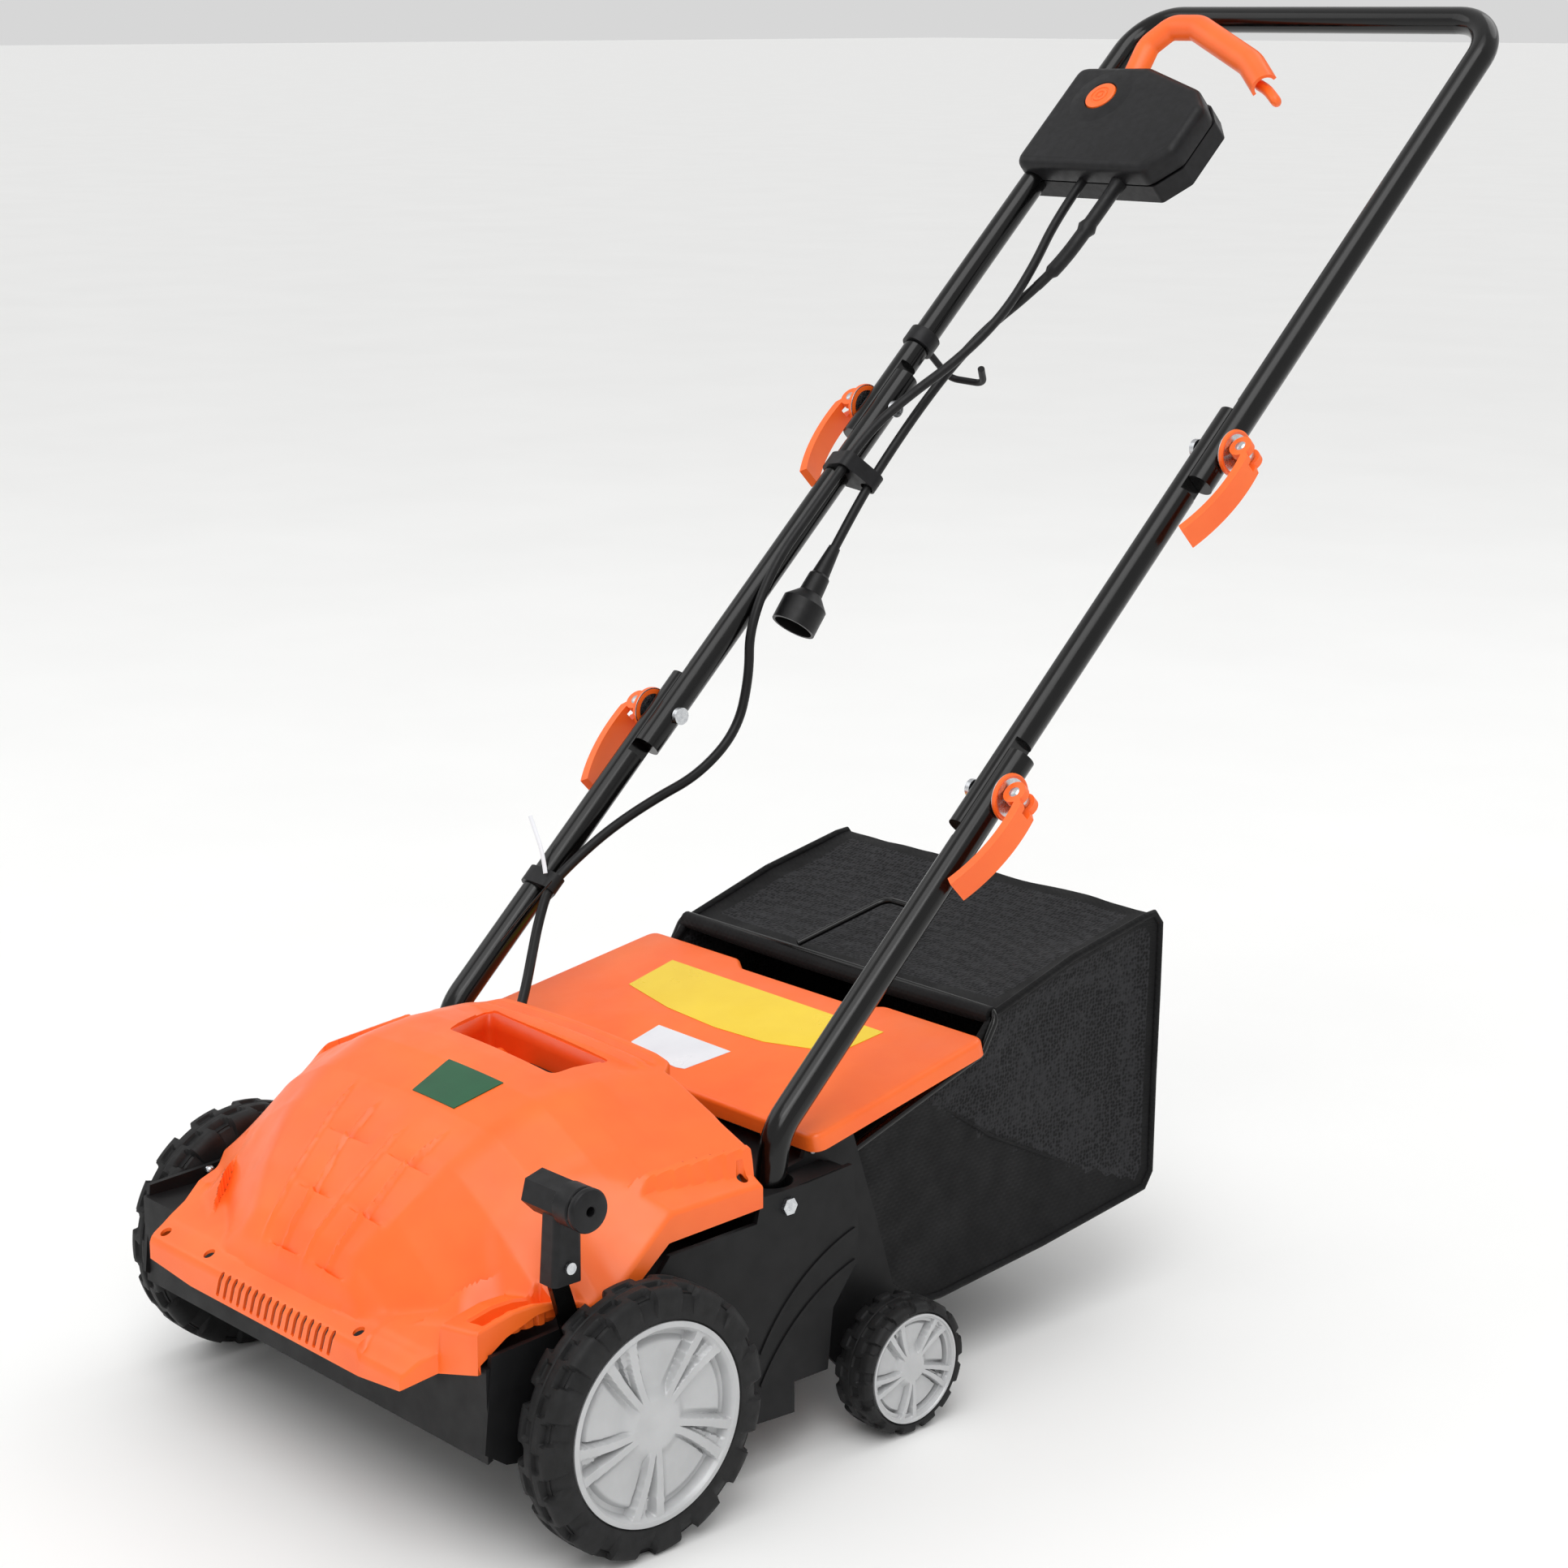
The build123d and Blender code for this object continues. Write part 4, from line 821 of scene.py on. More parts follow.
def makeTub():
    # carrying pocket under the hand hole: sheer walls, a floor, and a grip bar across the gap; the pocket wears
    # the cover's orange made darker as painted shade
    outline = rounded(handHole["corners"], handHole["radius"])
    count, rings = len(outline), []
    for height, grow in ((277, -0.4), (262, 0.6), (236, 0.0), (230, -3)):
        middle = Vector((-4, 86))
        rings.append([fromAxle(*(middle + (Vector(p) - middle) * (1 + grow / 60)), min(height, 276))
                      for p in outline])
    rings[0] = [fromAxle(p.x, p.y - axleY, coverHeight(p.x, p.y - axleY) - 1.2) for p in rings[0]]
    points = [p for ring in rings for p in ring]
    faces = [(r * count + (i + 1) % count, r * count + i, (r + 1) * count + i,
              (r + 1) * count + (i + 1) % count)
             for r in range(3) for i in range(count)]
    faces.append(tuple(range(3 * count, 4 * count)))
    mesh = meshFrom("carryTub", points, faces)
    # the darker orange copy here is painted shade of the recessed pocket
    tub = placePiece("carryTub", mesh, "root", "orangeShaded", sharp=40)
    wall = tub.modifiers.new("wall", "SOLIDIFY")
    wall.thickness = 0.002
    wall.offset = 0
    # rounded arch rib, and a black block in the slot under the grip as painted shade
    rib, faces = tubeMesh([fromAxle(*place) for place in handHole["rib"]], 4.5, 14)
    newPiece("carryRib", rib, faces, "root", "orange")
    bar = prism("carryGapShade", rounded(handHole["gap"], 3), 231, 250)
    placePiece("carryGapShade", bar, "root", "nylon")


def makeScrews():
    # pan heads with a cross recess, at the bottom of their wells
    for i, (x, y) in enumerate(recesses):
        top = coverHeight(x, y) - 5.2
        profile = [(0.0, 0.2), (1.0, 0.25), (2.1, 0.1), (3.0, -0.5), (3.6, -1.6), (3.6, -3.4)]
        points = [fromAxle(x, y, top + profile[0][1])]
        sides = 20
        for radius, drop in profile[1:]:
            for k in range(sides):
                turn = 2 * math.pi * k / sides
                cross = 0.9 if radius < 2.2 and k % 5 == 0 else 0
                points.append(fromAxle(x + radius * math.cos(turn), y + radius * math.sin(turn),
                                       top + drop - cross))
        faces = [(0, 1 + k, 1 + (k + 1) % sides) for k in range(sides)]
        faces += [(1 + r * sides + k, 1 + (r + 1) * sides + k, 1 + (r + 1) * sides + (k + 1) % sides,
                   1 + r * sides + (k + 1) % sides) for r in range(len(profile) - 2) for k in range(sides)]
        newPiece(f"coverScrew{i}", points, faces, "root", "steel",
                 ("cover_screws",) if i == 0 else ())


makeTub()
makeScrews()
print("stage: top cover")


# wheel trims and tyres, in millimetres
wheelShape = {
    "trim": {"pairs": 5, "spoke": (5.0, 7.6), "slot": 6.6, "swirl": 9, "deep": 9.0, "petal": 4.2},
    "front": {"body": "front_wheel_", "tyre": "front_tyre_", "cover": "front_wheel_cover_", "lugs": 15},
    "rear": {"body": "rear_wheel_", "tyre": "rear_tyre_", "cover": "rear_wheel_cover_", "lugs": 14},
}


def trimDepth(r, turn, rim):
    # how far the trim's face lies below its highest plane, at radius r and angle turn
    shape = wheelShape["trim"]
    scale = rim / 71
    hub, edge = rim * 0.27, rim - 6.5 * scale
    if r > edge + 2:
        return 0.4 * ((r - (edge + rim) / 2) / 3) ** 2
    period = 2 * math.pi / shape["pairs"]
    phase = (turn - math.radians(shape["swirl"]) * r / rim) % period - period / 2
    side = r * math.sin(abs(phase))
    out = min(max((r - hub) / (edge - hub), 0), 1)
    slot = shape["slot"] * scale * out ** 1.3
    spoke = slot + (shape["spoke"][0] + (shape["spoke"][1] - shape["spoke"][0]) * out) * scale
    bowl = 1.2 + 1.4 * (1 - r / rim)  # the face dishes towards the hub
    if r < hub - 3 * scale:
        return bowl
    # slots between the two spokes of a pair, bridged once near the rim
    inSlot = 1 - ramp(side, slot - 1.1 * scale, slot + 0.3 * scale)
    inSlot *= ramp(r, hub + 1, hub + 6 * scale) * (1 - ramp(r, edge - 2 * scale, edge + scale))
    floor = 0.55 if phase > 0 else 1
    if r > edge - 13 * scale:
        floor = 0.75 if phase < 0 else 0.35
    depth = shape["deep"] * inSlot * floor
    # wide windows hold a domed petal with a shadow groove round it
    inWindow = ramp(side, spoke - 0.3 * scale, spoke + 0.9 * scale)
    inWindow *= ramp(r, hub - 2 * scale, hub + 9 * scale)
    inWindow *= 1 - ramp(r, edge - 1.2 * scale, edge + scale)
    groove = 1 - ramp(side, spoke + 1.2 * scale, spoke + (6.0 if phase < 0 else 2.6) * scale)
    rimGroove = ramp(r, edge - 8 * scale, edge - 4 * scale)
    depth += inWindow * (shape["petal"] + (shape["deep"] - shape["petal"]) * max(groove * out, rimGroove))
    return bowl + depth


def makeTrim(kind, word, side):
    facts = wheelShape[kind]
    node = facts["cover"] + word
    low, high = boxOf(node)
    tyreLow, tyreHigh = boxOf(facts["tyre"] + word)
    rim = (high.z - low.z) / 2
    middle = (low + high) / 2
    outside = tyreHigh.x if side > 0 else tyreLow.x
    around, rings = 420, 58
    points = [Vector((outside - side * (0.3 + trimDepth(0, 0, rim)), middle.y, middle.z))]
    for i in range(1, rings + 1):
        r = rim * i / rings
        for k in range(around):
            turn = 2 * math.pi * k / around
            depth = 0.3 + trimDepth(r, turn, rim)
            points.append(Vector((outside - side * depth, middle.y + side * r * math.sin(turn),
                                  middle.z + r * math.cos(turn))))
    faces = [(0, 1 + k, 1 + (k + 1) % around) for k in range(around)]
    for i in range(rings - 1):
        for k in range(around):
            a, b = 1 + i * around + k, 1 + i * around + (k + 1) % around
            faces.append((a, a + around, b + around, b))
    last = 1 + (rings - 1) * around
    for k in range(around):
        points.append(points[last + k] - Vector((side * 3.2, 0, 0)))
    back = last + around
    faces += [(last + k, back + k, back + (k + 1) % around, last + (k + 1) % around) for k in range(around)]
    mesh = closedMesh("trim", points, faces)
    placePiece(f"{kind}Trim_{word}", mesh, facts["body"] + word[0], "silver", (node,),
               sharp=40)


def treadDepth(turn, across, width, lugs, low):
    # how far the rubber lies below the lug tops; across runs from the outer edge to the inner one
    place = turn / (2 * math.pi) * lugs
    deep = 0
    for mirrored in (False, True):
        v = (width - across if mirrored else across) / width
        u = (place + (0.5 if mirrored else 0) + 0.25 * v) % 1
        notch = ramp(u, 0.60, 0.64) * (1 - ramp(u, 0.96, 1.0)) * (1 - ramp(v, 0.27, 0.31))
        pocket = ramp(u, 0.10, 0.14) * (1 - ramp(u, 0.44, 0.48))
        pocket = pocket * ramp(v, 0.24, 0.28) * (1 - ramp(v, 0.44, 0.47))
        deep = max(deep, 5.0 * notch, 3.2 * pocket * (0 if v > 0.5 else 1))
    rib = math.exp(-(((across / width - 0.5) / 0.02) ** 2))
    return deep * low + 0.8 * rib


def makeTyre(kind, word, side):
    facts = wheelShape[kind]
    node = facts["tyre"] + word
    low, high = boxOf(node)
    radius, middle, width = (high.z - low.z) / 2, (low + high) / 2, high.x - low.x
    trimLow, trimHigh = boxOf(facts["cover"] + word)
    rim = (trimHigh.z - trimLow.z) / 2 + 0.4
    scale = radius / 94
    wall = [(2.2, rim), (0.4, rim + 1.2), (0.1, rim + 5 * scale), (0, radius - 9 * scale),
            (0.3, radius - 6 * scale), (1.4, radius - 3.4 * scale), (3.2, radius - 1.4 * scale)]
    tread = [(5.5 + (width - 11) * i / 24, radius - 0.5 * (2 * i / 24 - 1) ** 2) for i in range(25)]
    profile = wall + tread + [(width - a, r) for a, r in reversed(wall)]
    around = facts["lugs"] * 26
    points = []
    for across, r in profile:
        reach = ramp(r, radius - 13 * scale, radius - 7 * scale)
        for k in range(around):
            turn = 2 * math.pi * k / around
            onTread = 1 if r > radius - 13 * scale else 0
            deep = treadDepth(turn, across, width, facts["lugs"], reach) * scale * onTread
            out = r - (deep * 0.9 if r > radius - 2 else deep * 0.75)
            sink = deep * 0.55 if across < 4 else (-deep * 0.55 if across > width - 4 else 0)
            x = (high.x - across - sink) if side > 0 else (low.x + across + sink)
            points.append(Vector((x, middle.y + out * math.sin(turn), middle.z + out * math.cos(turn))))
    faces = ringFaces(len(profile), around)
    last = (len(profile) - 1) * around
    faces += [(last + k, last + (k + 1) % around, (k + 1) % around, k) for k in range(around)]
    mesh = closedMesh("tyre", points, faces)
    placePiece(f"{kind}Tyre_{word}", mesh, facts["body"] + word[0], "tyre", (node,), sharp=32)


for kind in ("front", "rear"):
    for word, side in (("left", 1), ("right", -1)):
        makeTrim(kind, word, side)
        makeTyre(kind, word, side)
print("stage: wheels")
# grass bag: side outline as distance behind the front axle and height, in millimetres
bagShape = {
    "half": 174,
    "outline": [(389, 268), (395, 273), (480, 299), (560, 315), (571, 316), (578, 307), (577, 250), (575, 180),
                (574, 104), (566, 92), (450, 76), (340, 65), (318, 66), (300, 76), (283, 90), (268, 104)],
    "mouth": [(268, 104), (242, 199), (300, 222), (372, 250), (389, 268)],
    "sag": {"top": 13, "rear": 9, "floor": 5, "side": 7},
    "border": 15,
    "split": [(335, 217), (399, 174), (491, 127), (556, 101)],  # mesh above, solid cloth below
    "wrinkle": 2.0,
}


def meshCloth():
    # knitted polyester mesh: thin yarns round open holes, so light specks on near-black
    material, tree, shader, place = newMaterial("knittedPolyesterMesh")
    # holes of 1.2 mm are drawn near 3 mm so that they show
    holes = addNode(tree, "ShaderNodeTexVoronoi", Vector=place, Scale=grainSize(3.0), Randomness=0.55)
    specks = addNode(tree, "ShaderNodeValToRGB", Fac=holes.outputs["Distance"])
    specks.color_ramp.elements[0].position = 0.25
    specks.color_ramp.elements[0].color = fromHex("0B0B0C")
    specks.color_ramp.elements[1].position = 0.62
    specks.color_ramp.elements[1].color = fromHex("2A2A2C")
    bump = addNode(tree, "ShaderNodeBump", Height=holes.outputs["Distance"], Distance=0.0006, Strength=0.9)
    return shade(material, tree, shader, specks.outputs["Color"], roughBand(tree, place, 0.55, 0.8, 6),
                 bump.outputs["Normal"], Specular_IOR_Level=0.15, Sheen_Weight=0.03)


def wovenCloth():
    # plain-woven coated nylon: flat black with a tight weave and soft sheen
    material, tree, shader, place = newMaterial("wovenNylon")
    # threads 0.5 mm apart are drawn at 1.6 mm so that they show
    warp = addNode(tree, "ShaderNodeTexWave", {"bands_direction": "Z"}, Vector=place,
                   Scale=grainSize(1.6) / 6.28)
    weft = addNode(tree, "ShaderNodeTexWave", {"bands_direction": "DIAGONAL"}, Vector=place,
                   Scale=grainSize(1.6) / 6.28)
    cross = addNode(tree, "ShaderNodeMath", {"operation": "MULTIPLY"}, _0=warp.outputs["Fac"],
                    _1=weft.outputs["Fac"])
    bump = addNode(tree, "ShaderNodeBump", Height=cross.outputs["Value"], Distance=0.0003, Strength=0.7)
    return shade(material, tree, shader, mottled(tree, place, "0A0A0B", "141415", 30),
                 roughBand(tree, place, 0.5, 0.7, 20), bump.outputs["Normal"], Specular_IOR_Level=0.15,
                 Sheen_Weight=0.03)


def fineLine(corners, step=9):
    # points about one step apart along straight runs
    line = []
    for a, b in zip(corners, corners[1:]):
        a, b = Vector(a), Vector(b)
        count = max(round((b - a).length / step), 1)
        line += [tuple(a + (b - a) * i / count) for i in range(count)]
    return line + [tuple(corners[-1])]


def crease(point, strength=1.0):
    # soft irregular folds of unlined cloth
    broad = noise.noise(point / 62) + 0.5 * noise.noise(point / 27 + Vector((3, 1, 7)))
    return broad * bagShape["wrinkle"] * strength


def aboveSplit(y, z):
    table = bagShape["split"]
    if y < table[0][0]:
        return z > table[0][1] + (table[0][0] - y) * 0.9
    return z > between(table, y)


def makeBag():
    shape, half = bagShape, bagShape["half"]
    strip = fineLine(shape["outline"])
    columns = 40
    points, faces, cloth = [], [], []
    for i, (y, z) in enumerate(strip):
        before, after = Vector(strip[max(i - 1, 0)]), Vector(strip[min(i + 1, len(strip) - 1)])
        along = (after - before).normalized()
        inward = Vector((0, along.y, -along.x))
        for c in range(columns + 1):
            x = half * (2 * c / columns - 1)
            across = 1 - (x / half) ** 2
            if z > 262:
                sag = shape["sag"]["top"] * math.sin(math.pi * min(max((y - 389) / 186, 0), 1))
            elif y > 560:
                sag = shape["sag"]["rear"] * math.sin(math.pi * min(max((z - 95) / 215, 0), 1))
            else:
                sag = -shape["sag"]["floor"] * math.sin(math.pi * min(max((y - 268) / 300, 0), 1))
            place = fromAxle(x, y, z)
            offset = sag * across ** 0.6 + (crease(place) if across > 0.02 and i > 1 else 0) * across ** 0.3
            points.append(place + inward * offset)
    rows = len(strip)
    for i in range(rows - 1):
        for c in range(columns):
            a = i * (columns + 1) + c
            faces.append((a, a + 1, a + columns + 2, a + columns + 1))
            y, z = strip[i]
            x = abs(half * (2 * (c + 0.5) / columns - 1))
            onTop = z > 262 and 389 + shape["border"] < y < 571 - shape["border"]
            onRear = y > 572 and 130 < z < 300
            cloth.append(0 if (onTop or onRear) and x < half - shape["border"] else 1)
    # side panels: rings drawn in towards the middle of the outline
    loop = fineLine(shape["outline"] + shape["mouth"][1:])[:-1]
    middle = Vector((440, 190))
    shares = [1, 0.965, 0.93, 0.87, 0.8, 0.7, 0.6, 0.5, 0.4, 0.3, 0.2, 0.1]
    for side in (1, -1):
        start = len(points)
        for share in shares:
            for y, z in loop:
                place = middle + (Vector((y, z)) - middle) * share
                pulled = shape["sag"]["side"] * (1 - share ** 3)
                spot = fromAxle(side * half, place.x, place.y)
                spot.x -= side * (pulled + crease(spot) * (1 - share ** 6))
                points.append(spot)
        count = len(loop)
        for r in range(len(shares) - 1):
            for k in range(count):
                a, b = start + r * count + k, start + r * count + (k + 1) % count
                faces.append((a, b, b + count, a + count))
                spot = sum((points[n] for n in faces[-1]), Vector()) / 4
                inner = shares[r + 1] < 0.93
                cloth.append(0 if inner and aboveSplit(spot.y - axleY, spot.z) else 1)
        last = start + (len(shares) - 1) * count
        faces.append(tuple(range(last, last + count)))
        cloth.append(0)
    mesh = meshFrom("grassBag", points, faces)
    for face, kind in zip(mesh.polygons, cloth):
        face.material_index = kind
    shell = bmesh.new()
    shell.from_mesh(mesh)
    bmesh.ops.remove_doubles(shell, verts=shell.verts, dist=0.0004)
    bmesh.ops.recalc_face_normals(shell, faces=shell.faces)
    shell.to_mesh(mesh)
    shell.free()
    kinds = [face.material_index for face in mesh.polygons]
    bag = placePiece("grassBag", mesh, "bag", "bagMesh", ("bag_fabric",), sharp=50)
    bag.data.materials.append(finish["bagCloth"])
    for face, kind in zip(bag.data.polygons, kinds):
        face.material_index = kind
    area = sum(face.area for face in bag.data.polygons)
    return bag, loop, area


finish["bagMesh"] = meshCloth()
finish["bagCloth"] = wovenCloth()
bag, bagLoop, bagArea = makeBag()


def makePiping():
    # bound seams round both side panels and the padded sleeve over the wire at the mouth
    made = []
    half = bagShape["half"]
    for word, side in (("left", 1), ("right", -1)):
        line = [fromAxle(side * (half - 0.5), y, z) for y, z in bagLoop]
        line.append(line[0])
        ring, faces = tubeMesh(line, 3.0, 10, closed=False)
        made.append(newPiece(f"bagSeam_{word}", ring, faces, "bag", "bagCloth", sharp=60))
        hem = [fromAxle(side * (half - 1.5), y, z) for y, z in fineLine(bagShape["split"], 14)]
        hem = [spot - Vector((side * (bagShape["sag"]["side"] * 0.75 + crease(spot)), 0, 0)) for spot in hem]
        ring, faces = tubeMesh(hem, 1.6, 8)
        made.append(newPiece(f"bagHem_{word}", ring, faces, "bag", "bagCloth", sharp=60))
    front = [fromAxle(half * (i / 10 - 1), 391, 272 - 3 * math.sin(math.pi * i / 20)) for i in range(21)]
    ring, faces = tubeMesh(front, 6.5, 14)
    made.append(newPiece("bagSleeve", ring, faces, "bag", "bagCloth", sharp=60))
    return made


bagTrims = makePiping()
# metres: the summed area of the bag mesh's faces, not a cutting pattern
# the area given is this mesh's own, so it says nothing about the real cloth
print(f"stage: bag, {bagArea:.3f} square metres of cloth")
# discharge flap: plan outline across and along its slope, from the front edge, in millimetres
flapShape = {
    "front": (190, 232),  # distance behind the front axle and height of the top's front edge
    "rise": 10,
    "outline": [(-198, 0), (198, 0), (189, 182), (84, 182), (68, 171), (-68, 171), (-84, 182), (-189, 182)],
    "corner": 11,
    "skirt": 13,
    "edge": 4,
    "wall": 2.6,
    "lugs": [-150, 150],
}
labels = {
    "yellow": {"points": [(-128, 149), (-123, 99), (-62, 87), (-2, 83), (50, 86), (113, 104), (117, 147)],
               "finish": "yellowFilm"},
    "white": {"points": [(-43, 62), (-39, 31), (-30, 24), (25, 20), (33, 22), (41, 61)],
              "finish": "whiteFilm"},
}


def labelFilm(name, dark, light):
    # vinyl label film, screen printed in one flat colour: smooth and faintly glossy, thin square edge
    material, tree, shader, place = newMaterial(name)
    return shade(material, tree, shader, mottled(tree, place, dark, light, 40),
                 roughBand(tree, place, 0.26, 0.36, 30), grain(tree, place, 3.0, 0.006), IOR=1.5)


finish["yellowFilm"] = labelFilm("yellowVinyl", "E9C51C", "F0CF2A")
finish["whiteFilm"] = labelFilm("whiteVinyl", "D9DBE0", "E4E6EA")
finish["greenFilm"] = labelFilm("greenVinyl", "0C4A2B", "125A36")


def onFlap(x, t, n):
    slope = math.radians(flapShape["rise"])
    y0, z0 = flapShape["front"]
    return fromAxle(x, y0 + t * math.cos(slope) - n * math.sin(slope),
                    z0 + t * math.sin(slope) + n * math.cos(slope))


def shrunk(outline, by):
    # outline moved inwards by a distance
    moved, count = [], len(outline)
    for i, here in enumerate(outline):
        before, after = Vector(outline[i - 1]), Vector(outline[(i + 1) % count])
        along = (after - before).normalized()
        moved.append((here[0] - along.y * by, here[1] + along.x * by))
    return moved


def makeFlap():
    shape = flapShape
    outline = rounded(shape["outline"], shape["corner"], 7)
    edge, skirt, wall = shape["edge"], shape["skirt"], shape["wall"]
    rings = [(edge, 0), (edge * 0.62, -edge * 0.08), (edge * 0.29, -edge * 0.29), (edge * 0.08, -edge * 0.62),
             (0, -edge), (-0.6, -skirt), (wall - 0.6, -skirt), (wall, -wall - 1)]
    points = [onFlap(x, t, n) for by, n in rings for x, t in shrunk(outline, by)]
    count = len(outline)
    faces = [tuple(range(count)), tuple(reversed(range((len(rings) - 1) * count, len(rings) * count)))]
    faces += [(r * count + k, (r + 1) * count + k, (r + 1) * count + (k + 1) % count,
               r * count + (k + 1) % count)
              for r in range(len(rings) - 1) for k in range(count)]
    mesh = closedMesh("flapShell", points, faces)
    placePiece("flapShell", mesh, "flap", "orange", ("flap",), sharp=30)
    # hinge eyes under the front edge, round the pin
    low, high = boxOf("flap_pin")
    pin = (low + high) / 2
    for i, x in enumerate(shape["lugs"]):
        eye = [Vector((x - 12 + 24 * k / 3, pin.y, pin.z)) for k in range(4)]
        ring, faces = tubeMesh(eye, 5.2, 20)
        newPiece(f"flapEye{i}", ring, faces, "flap", "orange")
    for name, label in labels.items():
        shapePoints = [onFlap(x, t, n) for n in (0.05, 0.4) for x, t in label["points"]]
        count = len(label["points"])
        faces = [tuple(reversed(range(count))), tuple(range(count, 2 * count))]
        faces += [(k, (k + 1) % count, count + (k + 1) % count, count + k) for k in range(count)]
        mesh = closedMesh(name, shapePoints, faces)
        placePiece(f"{name}Plate", mesh, "flap", label["finish"])


badge = {"rear": (25, -4, 59), "front": (-12, 3, 51), "stands": 0.8}  # y, left and right edge


def makeBadge():
    # plain green plate lying on the hood's curve
    points, across, along = [], 16, 10
    for lift in (badge["stands"], 0.05):
        for i in range(along + 1):
            y = badge["front"][0] + (badge["rear"][0] - badge["front"][0]) * i / along
            left = badge["front"][1] + (badge["rear"][1] - badge["front"][1]) * i / along
            right = badge["front"][2] + (badge["rear"][2] - badge["front"][2]) * i / along
            for k in range(across + 1):
                x = left + (right - left) * k / across
                points.append(fromAxle(x, y, coverHeight(x, y) + lift))
    wide, layer = across + 1, (across + 1) * (along + 1)
    faces = [(i * wide + k, i * wide + k + 1, (i + 1) * wide + k + 1, (i + 1) * wide + k)
             for i in range(along) for k in range(across)]
    faces += [tuple(layer + n for n in reversed(face)) for face in list(faces)]
    rim = [k for k in range(wide)] + [i * wide + across for i in range(1, along + 1)]
    rim += [along * wide + k for k in range(across - 1, -1, -1)] + [i * wide for i in range(along - 1, 0, -1)]
    faces += [(rim[k], layer + rim[k], layer + rim[(k + 1) % len(rim)], rim[(k + 1) % len(rim)])
              for k in range(len(rim))]
    mesh = closedMesh("badge", points, faces)
    placePiece("hoodPlate", mesh, "root", "greenFilm")


makeFlap()
makeBadge()
print("stage: flap and plates")


def lathe(name, profile, origin, axis, body, material, hides=(), sides=40):
    # turned shape: profile of (radius, distance along the axis)
    axis = axis.normalized()
    side = axis.orthogonal().normalized()
    other = axis.cross(side)
    points = []
    for radius, reach in profile:
        for k in range(sides):
            turn = 2 * math.pi * k / sides
            out = side * math.cos(turn) + other * math.sin(turn)
            points.append(origin + axis * reach + out * max(radius, 0.01))
    faces = ringFaces(len(profile), sides)
    faces += [tuple(reversed(range(sides))), tuple(range((len(profile) - 1) * sides, len(profile) * sides))]
    mesh = closedMesh(name, points, faces)
    return placePiece(name, mesh, body, material, hides, sharp=35)


# start button: radius and height of each ring, in millimetres
buttonFacts = {
    "place": (-152, -116),
    "cap": [(0, 24.4), (2.2, 24.4), (2.7, 23.6), (4.0, 23.6), (4.5, 24.5), (6.6, 24.6), (7.1, 23.8),
            (8.4, 23.8), (8.9, 24.6), (12.6, 24.4), (14.2, 23.6), (14.9, 21.8), (14.9, 12)],
    "collar": [(15.35, 12), (15.35, 22.9), (16.2, 23.6), (20, 23.4), (25, 22.8), (31, 21.9), (31, 20)],
}


def makeButton():
    # orange push button with rings moulded round its middle
    middle = onHandle(*buttonFacts["place"], 0)
    lathe("buttonCap", buttonFacts["cap"], middle, offHandle, "button", "orange",
          ("start_button",))
    lathe("buttonCollar", buttonFacts["collar"], middle, offHandle, "upper_handle", "nylon")


# nylon ties at the low cord clip: route of each tail along the handle
tieFacts = {
    "tieWhite": ([(-172, -957, 14), (-180, -944, 22), (-196, -930, 30), (-206, -922, 33)], "whiteFilm"),
    "tieDark": ([(-160, -962, 14), (-158, -978, 18), (-160, -1000, 19), (-164, -1024, 18)], "nylon"),
}


def makeTies():
    # the tails are left long
    for name, (route, material) in tieFacts.items():
        line = centreLine(name + "Line", [onHandle(*place) for place in route])
        ring, faces = tubeMesh(line, 1.7, 10, flat=0.4)
        newPiece(name, ring, faces, "root", material, sharp=60)


makeButton()
makeTies()
print("stage: button and ties")


# folding joints: orange dished washers under the cam levers and the bright pins through their heads
camFacts = {"washer": 17.9, "inner": 199.2, "outer": 203.4, "camX": 211.9, "pin": 4.2, "reach": 10.0}


def makeCams():
    for level, s, holder in (("upper", upperS, "upper_handle"), ("lower", lowerS, "root")):
        for word, side in (("left", 1), ("right", -1)):
            centre = onHandle(0, s, 0)
            across = Vector((side, 0, 0))
            rim, low, high = camFacts["washer"], camFacts["inner"], camFacts["outer"]
            profile = [(3.4, low + 0.9), (rim - 2.5, low), (rim - 0.6, low + 0.3), (rim, low + 1.4),
                       (rim - 0.3, high - 0.5), (rim - 1.4, high), (rim - 2.6, high - 0.6),
                       (rim - 4.5, high - 1.5), (6, high - 1.7)]
            lathe(f"camWasher_{level}_{word}", profile, centre, across, holder, "orange")
            head = onHandle(side * camFacts["camX"], s, 0)
            for i, way in enumerate((1, -1)):
                pin = camFacts["pin"]
                dome = [(0, 1.1), (pin * 0.5, 1.0), (pin * 0.85, 0.7), (pin, 0.1), (pin, -1.0)]
                lathe(f"camPin_{level}_{word}_{i}", dome, head + offHandle * way * camFacts["reach"],
                      offHandle * way, f"cam_{level}_{word}", "steel", sides=24)


boxFacts = {
    "outline": [(-202, -79), (-122, -77), (-54, -101), (-34, -122), (-34, -172), (-54, -196), (-202, -196)],
    "corner": 13, "top": 22, "soft": 8, "well": 15.3,
}


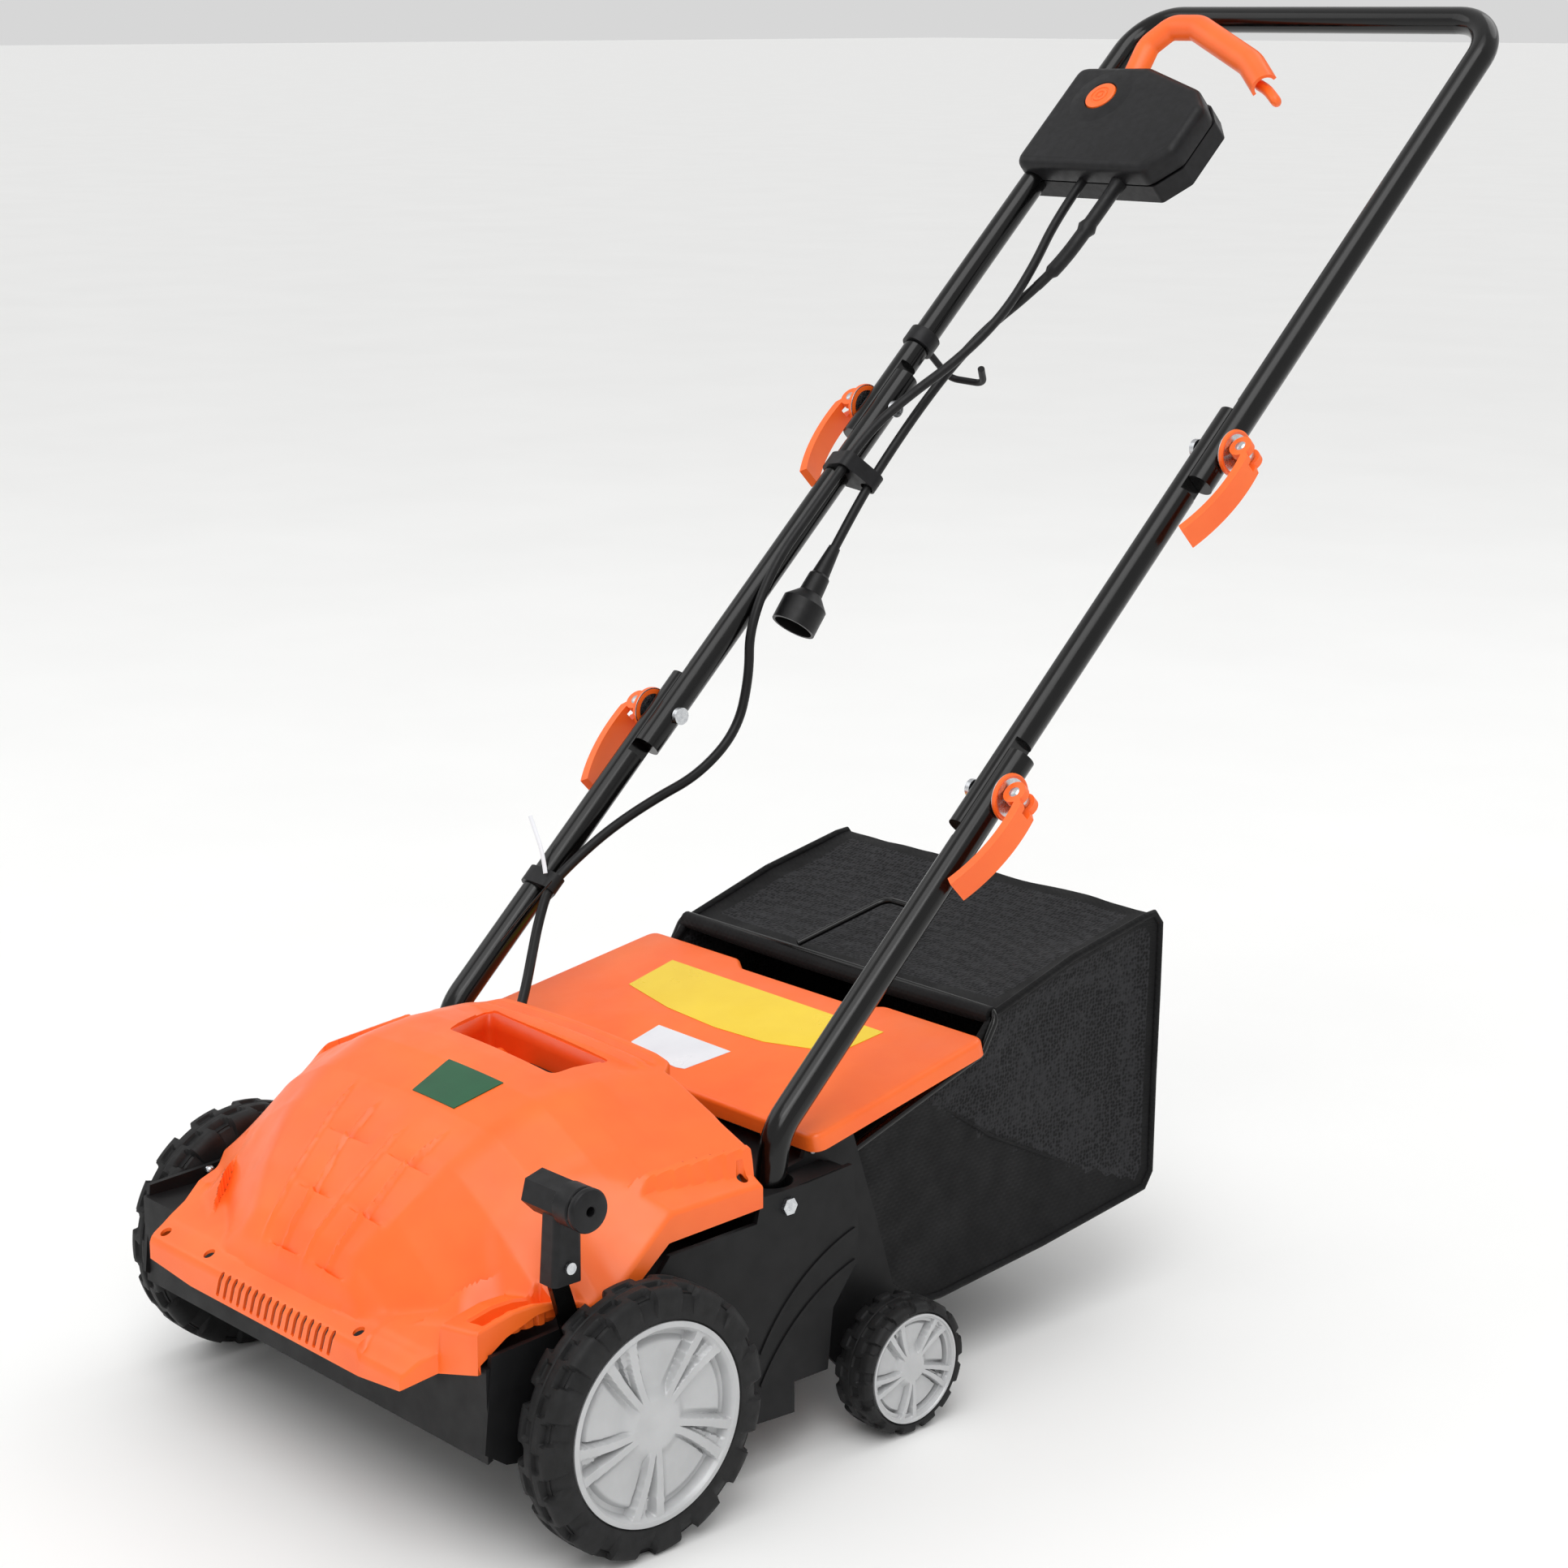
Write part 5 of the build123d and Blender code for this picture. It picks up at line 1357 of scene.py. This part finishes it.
def makeSwitchBox():
    # front shell of the switch box with broad soft edges and a well cut for the button
    outline = rounded(boxFacts["outline"], boxFacts["corner"], 8)
    top, soft = boxFacts["top"], boxFacts["soft"]
    rings = [(0.2, 1.2), (0.0, 1.8), (0.0, top - soft)]
    rings += [(soft * (1 - math.cos(math.radians(a))), top - soft + soft * math.sin(math.radians(a)))
              for a in (15, 30, 45, 60, 75, 90)]
    points = [onHandle(x, s, n) for by, n in rings for x, s in shrunk(outline, -by)]
    count = len(outline)
    faces = [tuple(range(count)), tuple(range((len(rings) - 1) * count, len(rings) * count))]
    faces += ringFaces(len(rings), count)
    mesh = closedMesh("switchShell", points, faces)
    shell = placePiece("switchShell", mesh, "upper_handle", "nylon", ("switch_box_front",),
                       sharp=25)
    # well for the button
    x0, s0 = buttonFacts["place"]
    wall = [onHandle(x, s, n) for n in (8, 30) for x, s in disc(x0, s0, boxFacts["well"], 48)]
    faces = [tuple(range(48)), tuple(range(48, 96))]
    faces += ringFaces(2, 48)
    cutAway(shell, [closedMesh("buttonWell", wall, faces)])


# height lever's grip: its place off the front axle, and the radius and reach of each ring
gripFacts = {
    "place": (0, -52, 256),
    "rings": [(9, 227), (13.4, 227.4), (14.8, 229), (14.8, 242), (14.2, 242.8), (13.2, 243.2), (13.2, 244.4),
              (14.6, 245), (15.0, 246), (15.0, 248.4), (14.2, 249.6), (12.6, 250.2), (4.2, 250.2),
              (3.4, 249.4), (3.4, 240)],
}


def makeGrip():
    # turned outer half of the lever grip, with a groove, a collar and the bore in its end
    lathe("leverGrip", gripFacts["rings"], fromAxle(*gripFacts["place"]), Vector((1, 0, 0)), "height_crank",
          "nylon", sides=36)


# free end of the bail: its place on the handle, and the stop's route along and off the bar
bailFacts = {"tilt": 12, "pivot": (-92, 4), "tip": [(-12, 13), (-2, 9), (8, 2), (17, -5)], "thick": 4.6}


def makeBailTip():
    # finger stop at the free end of the bail: a short rounded tongue
    turn = Matrix.Rotation(math.radians(bailFacts["tilt"]), 3, "X")
    origin = onHandle(0, *bailFacts["pivot"])
    route = [origin + Vector((x, 0, 0)) + (turn @ upHandle) * y - (turn @ offHandle) * 5
             for x, y in bailFacts["tip"]]

    def width(share):
        return bailFacts["thick"] * math.sqrt(max(1 - max(share - 0.85, 0) ** 2 * 40, 0.05))

    ring, faces = tubeMesh(centreLine("bailTipLine", route), width, 18, flat=1.25)
    newPiece("bailTip", ring, faces, "bail", "orange", sharp=60)


makeCams()
makeSwitchBox()
makeGrip()
makeBailTip()
print("stage: joints and switch box")
